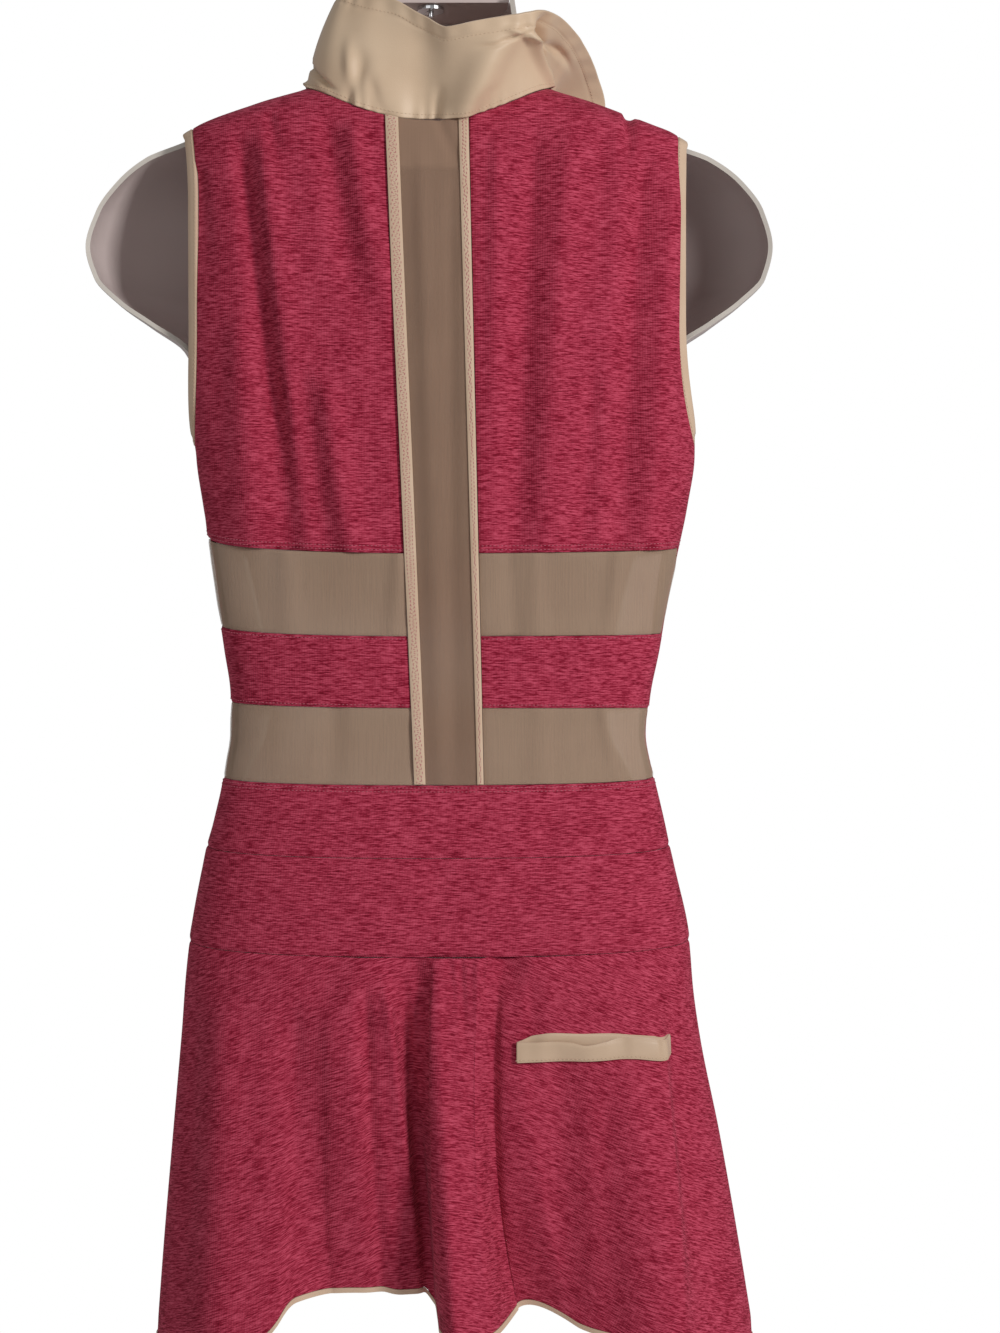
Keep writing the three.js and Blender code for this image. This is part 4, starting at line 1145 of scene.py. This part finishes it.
COLLAR = table(
    "turn x y z bow",
    (-1, -6, 14, 72, 2),
    (-0.75, 6, -2, 73, 3),
    (-0.5, 27, 2, 68, 4),
    (-0.25, 9, 4, 73, 5),
    (-0.1, 1, -6, 76, 4),
    (-0.02, 0, -14, 66, 2),
    (0.05, 0, -20, 55, 0),
    (0.12, 1, -25, 54, 0),
    (0.28, 4, -27, 48, -4),
    (0.42, 10, -10, 43, -8),
    (0.5, 20, 3, 37, -9),
    (0.6, 36, 4, 29, -9),
    (0.72, 55, 4, 24, -8),
    (0.86, 64, 12, 18, -6),
    (1, 66, 22, 12, -4),
)
NECK_CENTRE = 10
COLLAR_WALL = 0.9
COLLAR_HEM = 0.86           # where up the collar its hem's stitching runs
SEAM_PUCKER, HEM_PUCKER, HEM_DIP = 0.9, 0.35, 0.35


def neck_seam(turn):
    behind = np.abs(turn) <= 0.5
    side = np.where(turn < 0, -1, 1)
    neck_x = np.where(turn < 0, -NECK_X[-1], NECK_X[1])
    x_back = neck_x * np.sin(np.clip(turn, -0.5, 0.5) * np.pi)
    z_back = neck_height(-1, x_back)
    q_back = np.where(np.abs(turn) >= 0.5, side, place_of(-1, x_back, z_back))
    share = np.cos((np.clip(np.abs(turn), 0.5, 1) - 0.5) * np.pi)
    x_front = mix(side * SLIT_HALF, side * neck_x, share)
    z_front = neck_height(1, x_front)
    front = torso(1, place_of(1, x_front, z_front), z_front)
    return np.where(behind[..., None], torso(-1, q_back, z_back), front)


def collar_point(turn, v):
    seam = neck_seam(turn)
    away = unit(np.stack([seam[..., 0], seam[..., 1] - NECK_CENTRE, 0 * turn], -1))
    rise = np.stack([column(COLLAR["turn"], COLLAR[name], turn) for name in "xyz"], -1)
    bow = column(COLLAR["turn"], COLLAR["bow"], turn) * np.sin(v * np.pi)
    return seam + (0, 0, -0.2) + rise * v[..., None] + away * bow[..., None]


# Creases of the collar: from (turn, v) to (turn, v), their half width in turn and their depth.
COLLAR_FOLDS = table(
    "turn_from v_from turn_to v_to half out",
    (-0.47, 0.24, -0.30, 0.08, 0.03, -5.0),
    (-0.47, 0.06, -0.34, -0.04, 0.03, 3.0),
    (-0.22, -0.05, -0.17, 0.40, 0.022, -3.2),
    (-0.19, -0.05, -0.21, 0.46, 0.022, 2.8),
    (-0.12, -0.05, -0.14, 0.25, 0.016, -1.6),
    (-0.09, 0.30, -0.12, 1.10, 0.05, -3.0),
    (-0.01, 0.00, -0.02, 0.95, 0.06, -8.0),
    (0.08, -0.05, 0.16, 0.75, 0.045, 6.5),
    (0.02, -0.05, 0.03, 0.30, 0.014, -2.0),
    (0.13, 0.20, 0.24, 0.90, 0.055, 4.6),
    (0.15, 0.72, 0.30, 0.80, 0.030, -3.4),
    (0.22, 0.86, 0.33, 0.66, 0.020, 4.0),
    (0.29, 0.78, 0.43, 0.00, 0.020, 7.5),
    (0.335, 0.80, 0.475, 0.05, 0.026, -9.0),
    (0.43, 0.62, 0.50, 0.74, 0.045, -4.0),
    (0.56, 0.10, 0.52, 0.80, 0.035, 3.0),
    (-0.62, 0.05, -0.58, 0.60, 0.04, 2.0),
    (-0.80, 0.05, -0.74, 0.55, 0.04, -1.8),
    (0.70, 0.10, 0.66, 0.70, 0.05, 1.8),
    (0.84, 0.05, 0.80, 0.60, 0.04, -1.8),
)
collar_turn = np.linspace(-1, 1, 301)
collar_rise = np.concatenate([
    np.linspace(0, 0.1, 9)[:-1],
    np.linspace(0.1, 0.84, 27)[:-1],
    np.linspace(0.84, 1, 13),
])
turn, rise = np.meshgrid(collar_turn, collar_rise, indexing="ij")
sheet_points = collar_point(turn, rise)
du, dv = np.gradient(sheet_points, axis=0), np.gradient(sheet_points, axis=1)
collar_out = unit(np.cross(du, dv))
push = np.zeros_like(turn)
for k in range(len(COLLAR_FOLDS["half"])):
    fold = {name: values[k] for name, values in COLLAR_FOLDS.items()}
    t = (rise - fold["v_from"]) / (fold["v_to"] - fold["v_from"])
    away = turn - mix(fold["turn_from"], fold["turn_to"], np.clip(t, 0, 1))
    bump = fold["out"] * np.exp(-((away / fold["half"]) ** 2))
    push += bump * step_between(-0.35, 0.2, t) * step_between(1.4, 0.7, t)
behind = step_between(0.36, 0.12, np.abs(turn))
pucker = np.sin(turn * 150 + 2 * np.sin(turn * 37)) * np.exp(-rise / 0.09) * behind
hem_pucker = np.sin(turn * 118 + 1.5 * np.sin(turn * 23)) * np.exp(-(((rise - 0.93) / 0.07) ** 2))
stitched_in = np.exp(-(((rise - COLLAR_HEM) / 0.012) ** 2))
push += SEAM_PUCKER * pucker + HEM_PUCKER * hem_pucker - HEM_DIP * stitched_in
collar_points = sheet_points + collar_out * push[..., None]
collar_wall_at = COLLAR_WALL * (1 + 0.7 * step_between(COLLAR_HEM - 0.01, COLLAR_HEM + 0.01, rise))
collar_inner = collar_points - collar_out * collar_wall_at[..., None]
collar = shell("stand_collar", collar_points, collar_inner, satin)
OUTER_FACES["stand_collar"] = collar_points
declare(collar, "collar", collar_points)

# The sewing ----------------------------------------------------------------------------------
# Twin rows of topstitching beside the seams of the bodice, band and yoke, a zigzag down each
# tape, and single rows round the armholes, the collar's hem and the pocket's welt.


def sewn_line(name, edge, inset, lift=0.1):
    """The line that runs along one edge of a piece, that far in from it, just proud of its face."""
    grid = OUTER_FACES[name]
    grid = grid + normals_of(grid) * lift
    grid = grid.transpose(1, 0, 2) if edge in ("left", "right") else grid
    grid = grid[:, ::-1] if edge in ("top", "right") else grid
    steps = np.linalg.norm(np.diff(grid, axis=1), axis=-1)
    runs = np.concatenate([np.zeros((len(grid), 1)), np.cumsum(steps, axis=1)], axis=1)
    return np.array([[np.interp(inset, run, row[:, k]) for k in range(3)] for run, row in zip(runs, grid)])


def zigzag(first, second, step):
    """A line that swings between two lines beside each other, one swing a step."""
    run = np.concatenate([[0], np.cumsum(np.linalg.norm(np.diff(first, axis=0), axis=-1))])
    at = np.arange(0, run[-1], step)
    low, high = (np.stack([np.interp(at, run, line[:, k]) for k in range(3)], -1) for line in (first, second))
    return np.where((np.arange(len(at)) % 2 == 0)[:, None], low, high)


def thread_finish(name, first, second):
    finish = Finish(name)
    twist = finish.noise(finish.scaled(finish.place(), 900, 900, 900), 1)
    return finish.paint(Base_Color=finish.blend(twist, linear(*first), linear(*second)), Roughness=0.55)


def stitch_tree():
    """Geometry Nodes: lays one rounded stitch every Spacing along the lines of a mesh."""
    tree = bpy.data.node_groups.new("stitch_rows", "GeometryNodeTree")
    sockets = tree.interface
    sockets.new_socket("Lines", in_out="INPUT", socket_type="NodeSocketGeometry")
    for name in ("Spacing", "Stitch Length", "Thickness"):
        sockets.new_socket(name, in_out="INPUT", socket_type="NodeSocketFloat")
    sockets.new_socket("Seed", in_out="INPUT", socket_type="NodeSocketInt")
    sockets.new_socket("Thread", in_out="INPUT", socket_type="NodeSocketMaterial")
    sockets.new_socket("Stitches", in_out="OUTPUT", socket_type="NodeSocketGeometry")

    def add(kind, links=(), **settings):
        made = tree.nodes.new(kind)
        for key, value in settings.items():
            setattr(made, key, value)
        for socket, source in dict(links).items():
            if hasattr(source, "is_linked"):
                tree.links.new(source, made.inputs[socket])
            else:
                made.inputs[socket].default_value = source
        return made

    given = add("NodeGroupInput").outputs
    curve = add("GeometryNodeMeshToCurve", {"Mesh": given["Lines"]}).outputs[0]
    points = add("GeometryNodeResampleCurve", {"Curve": curve, "Length": given["Spacing"]}, mode="LENGTH")
    along = add("GeometryNodeInputTangent").outputs[0]
    turned = add("FunctionNodeAlignEulerToVector", {"Vector": along}, axis="X").outputs[0]
    uneven = add("FunctionNodeRandomValue", {
        "Min": (0.85, 0.9, 0.9), "Max": (1.1, 1.1, 1.1), "Seed": given["Seed"],
    }, data_type="FLOAT_VECTOR").outputs["Value"]
    size = add("ShaderNodeCombineXYZ", {
        "X": given["Stitch Length"], "Y": given["Thickness"], "Z": given["Thickness"],
    })
    scale = add("ShaderNodeVectorMath", {0: size.outputs[0], 1: uneven}, operation="MULTIPLY").outputs[0]
    ball = add("GeometryNodeMeshIcoSphere", {"Radius": 0.5, "Subdivisions": 1}).outputs[0]
    laid = add("GeometryNodeInstanceOnPoints", {
        "Points": points.outputs[0], "Instance": ball, "Rotation": turned, "Scale": scale,
    }).outputs[0]
    solid = add("GeometryNodeRealizeInstances", {0: laid}).outputs[0]
    done = add("GeometryNodeSetMaterial", {"Geometry": solid, "Material": given["Thread"]}).outputs[0]
    tree.links.new(done, add("NodeGroupOutput").inputs["Stitches"])
    return tree


STITCHES = stitch_tree()


def finished(source, name):
    """The plain, smooth mesh that a curve or a modifier gives; the source is removed."""
    mesh = bpy.data.meshes.new_from_object(source.evaluated_get(bpy.context.evaluated_depsgraph_get()))
    bpy.data.objects.remove(source)
    mesh.name = name
    mesh.polygons.foreach_set("use_smooth", np.ones(len(mesh.polygons), bool))
    return mesh


def sew(name, lines, thread, spacing, length, thickness, seed):
    corners = [tuple(corner) for line in lines for corner in (line + (0, -SEAT_Y, 0)) * MM]
    starts = np.cumsum([0] + [len(line) for line in lines])
    edges = [(k, k + 1) for low, high in zip(starts, starts[1:]) for k in range(low, high - 1)]
    mesh = bpy.data.meshes.new(name + "_lines")
    mesh.from_pydata(corners, edges, [])
    guide = in_scene(name + "_lines", mesh)
    modifier = guide.modifiers.new("stitches", "NODES")
    modifier.node_group = STITCHES
    wanted = {
        "Spacing": spacing * MM,
        "Stitch Length": length * MM,
        "Thickness": thickness * MM,
        "Seed": seed,
        "Thread": thread,
    }
    for socket in STITCHES.interface.items_tree:
        if socket.in_out == "INPUT" and socket.name in wanted:
            modifier[socket.identifier] = wanted[socket.name]
    piece = in_scene(name, finished(guide, name))
    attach(piece, "root")


rose_thread = thread_finish("rose_thread", (176, 78, 98), (200, 108, 124))
cream_thread = thread_finish("cream_thread", (206, 178, 150), (222, 198, 170))
twin_rows = []
for piece_name in ("back_left_panel", "back_right_panel", "front_left_panel", "front_right_panel"):
    twin_rows += [sewn_line(piece_name, "foot", inset) for inset in (2.2, 4.8)]
for side_name in SIDES.values():
    twin_rows += [sewn_line(f"waist_band_{side_name}", edge, 2.0) for edge in ("top", "foot")]
twin_rows += [sewn_line("upper_yoke_back", "top", inset) for inset in (2.0, 4.6)]
sew(
    "seam_stitches", twin_rows, rose_thread,
    spacing=2.6, length=2.0, thickness=0.62, seed=3,
)
tape_rows = []
for side_name in SIDES.values():
    tape_edges = [sewn_line(f"seam_tape_{side_name}", edge, 1.7) for edge in ("left", "right")]
    tape_rows.append(zigzag(*tape_edges, 1.3))
sew("tape_zigzag", tape_rows, rose_thread, spacing=2.4, length=1.9, thickness=0.42, seed=5)
cream_rows = [sewn_line("stand_collar", "top", 9), sewn_line("stand_collar", "foot", 3)]
cream_rows += [sewn_line(f"armhole_band_{side_name}", "foot", 1.4) for side_name in SIDES.values()]
cream_rows += [sewn_line("pocket_welt_band", "foot", 1.6)]
sew("cream_stitches", cream_rows, cream_thread, spacing=2.8, length=2.1, thickness=0.45, seed=7)

# The hook ------------------------------------------------------------------------------------
# A bright steel wire hook that stands in an eyelet of the form's neck, held by a washer below
# and a nut above.

HOOK_ROD, HOOK_THROAT = 2, 20


def steel_finish():
    finish = Finish("bright_steel")
    place = finish.place()
    brushed = finish.noise(finish.scaled(place, 500, 500, 30), 3)
    return finish.paint(
        Base_Color=finish.blend(brushed, linear(190, 190, 194), linear(222, 222, 224)),
        Metallic=1,
        Roughness=0.18 + brushed * 0.14,
        Normal=finish.bump(brushed, 0.00004, 0.4),
    )


steel = steel_finish()
hook_curve = bpy.data.curves.new("hanging_hook", "CURVE")
hook_curve.dimensions = "3D"
hook_curve.bevel_depth = HOOK_ROD * MM
hook_curve.bevel_resolution = 6
hook_curve.use_fill_caps = True
radius = HOOK_THROAT + HOOK_ROD
bend = np.radians(np.linspace(-55, 200, 40))
stem = np.array([(0, 0, z) for z in (-90, -80, -70, -60, -53)] + [(2.5, 0, -46)], float)
arc = np.stack([radius * np.cos(bend), 0 * bend, radius * np.sin(bend) - HOOK_THROAT], -1)
path = np.concatenate([stem, arc])
spline = hook_curve.splines.new("NURBS")
spline.points.add(len(path) - 1)
spline.points.foreach_set("co", np.concatenate([path * MM, np.ones((len(path), 1))], 1).ravel())
spline.order_u = 3
spline.use_endpoint_u = True
hook_mesh = finished(in_scene("hook_source", hook_curve), "hanging_hook")
hook_mesh.materials.clear()
hook_mesh.materials.append(steel)
hook = in_scene("hanging_hook", hook_mesh)
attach(hook, "root")
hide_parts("hook")
for name in ("hook_washer", "hook_nut"):
    coat(name, steel)

# Floor, light and camera -----------------------------------------------------------------------
# A pale floor below the hanging dress, a soft key light from its right, a weaker one from its
# left and an even white surrounding.

FLOOR_Z = -1.32
SURROUND_ON_CLOTH = 0.28    # how strongly the white surrounding lights the dress
VIEW_HEIGHT_ANGLE = 32.6
floor_finish = Finish("pale_floor")
floor_spot = floor_finish.noise(floor_finish.scaled(floor_finish.place(), 3, 3, 3), 2)
floor_material = floor_finish.paint(
    Base_Color=floor_finish.blend(floor_spot, (0.86, 0.86, 0.86), (0.9, 0.9, 0.9)), Roughness=0.7,
)
floor_mesh = bpy.data.meshes.new("floor")
floor_corners = [(x, y, FLOOR_Z) for x, y in ((-1, -1), (1, -1), (1, 1), (-1, 1))]
floor_mesh.from_pydata(floor_corners, [], [(0, 1, 2, 3)])
floor_mesh.materials.append(floor_material)
floor = in_scene("floor", floor_mesh)

world = bpy.data.worlds.new("studio")
bpy.context.scene.world = world
world.use_nodes = True
surround = world.node_tree.nodes["Background"]
surround.inputs["Color"].default_value = (1, 1, 1, 1)
ray = world.node_tree.nodes.new("ShaderNodeLightPath")
level = world.node_tree.nodes.new("ShaderNodeMapRange")
level.inputs["To Min"].default_value = SURROUND_ON_CLOTH
level.inputs["To Max"].default_value = 1.0
world.node_tree.links.new(ray.outputs["Is Camera Ray"], level.inputs["Value"])
world.node_tree.links.new(level.outputs["Result"], surround.inputs["Strength"])


def area_light(name, place, target, size, power):
    light = bpy.data.lights.new(name, "AREA")
    light.size = size
    light.energy = power
    made = in_scene(name, light)
    made.location = place
    aim = Vector(target) - Vector(place)
    made.rotation_euler = aim.to_track_quat("-Z", "Y").to_euler()


area_light("key_light", (1.75, -1.85, 0.1), (0, 0, -0.5), 0.5, 38)
area_light("fill_light", (-1.0, -2.4, 0.6), (0, 0, -0.4), 1.2, 5)
bpy.context.scene.view_settings.view_transform = "Standard"

camera_data = bpy.data.cameras.new("camera")
camera_data.sensor_width = 36
camera_data.lens = 18 / math.tan(math.radians(VIEW_HEIGHT_ANGLE / 2))
camera = in_scene("camera", camera_data)
camera.location = (0.0476, -1.562, -0.535)
camera.rotation_euler = (HALF_PI, 0, 0)
bpy.context.scene.camera = camera
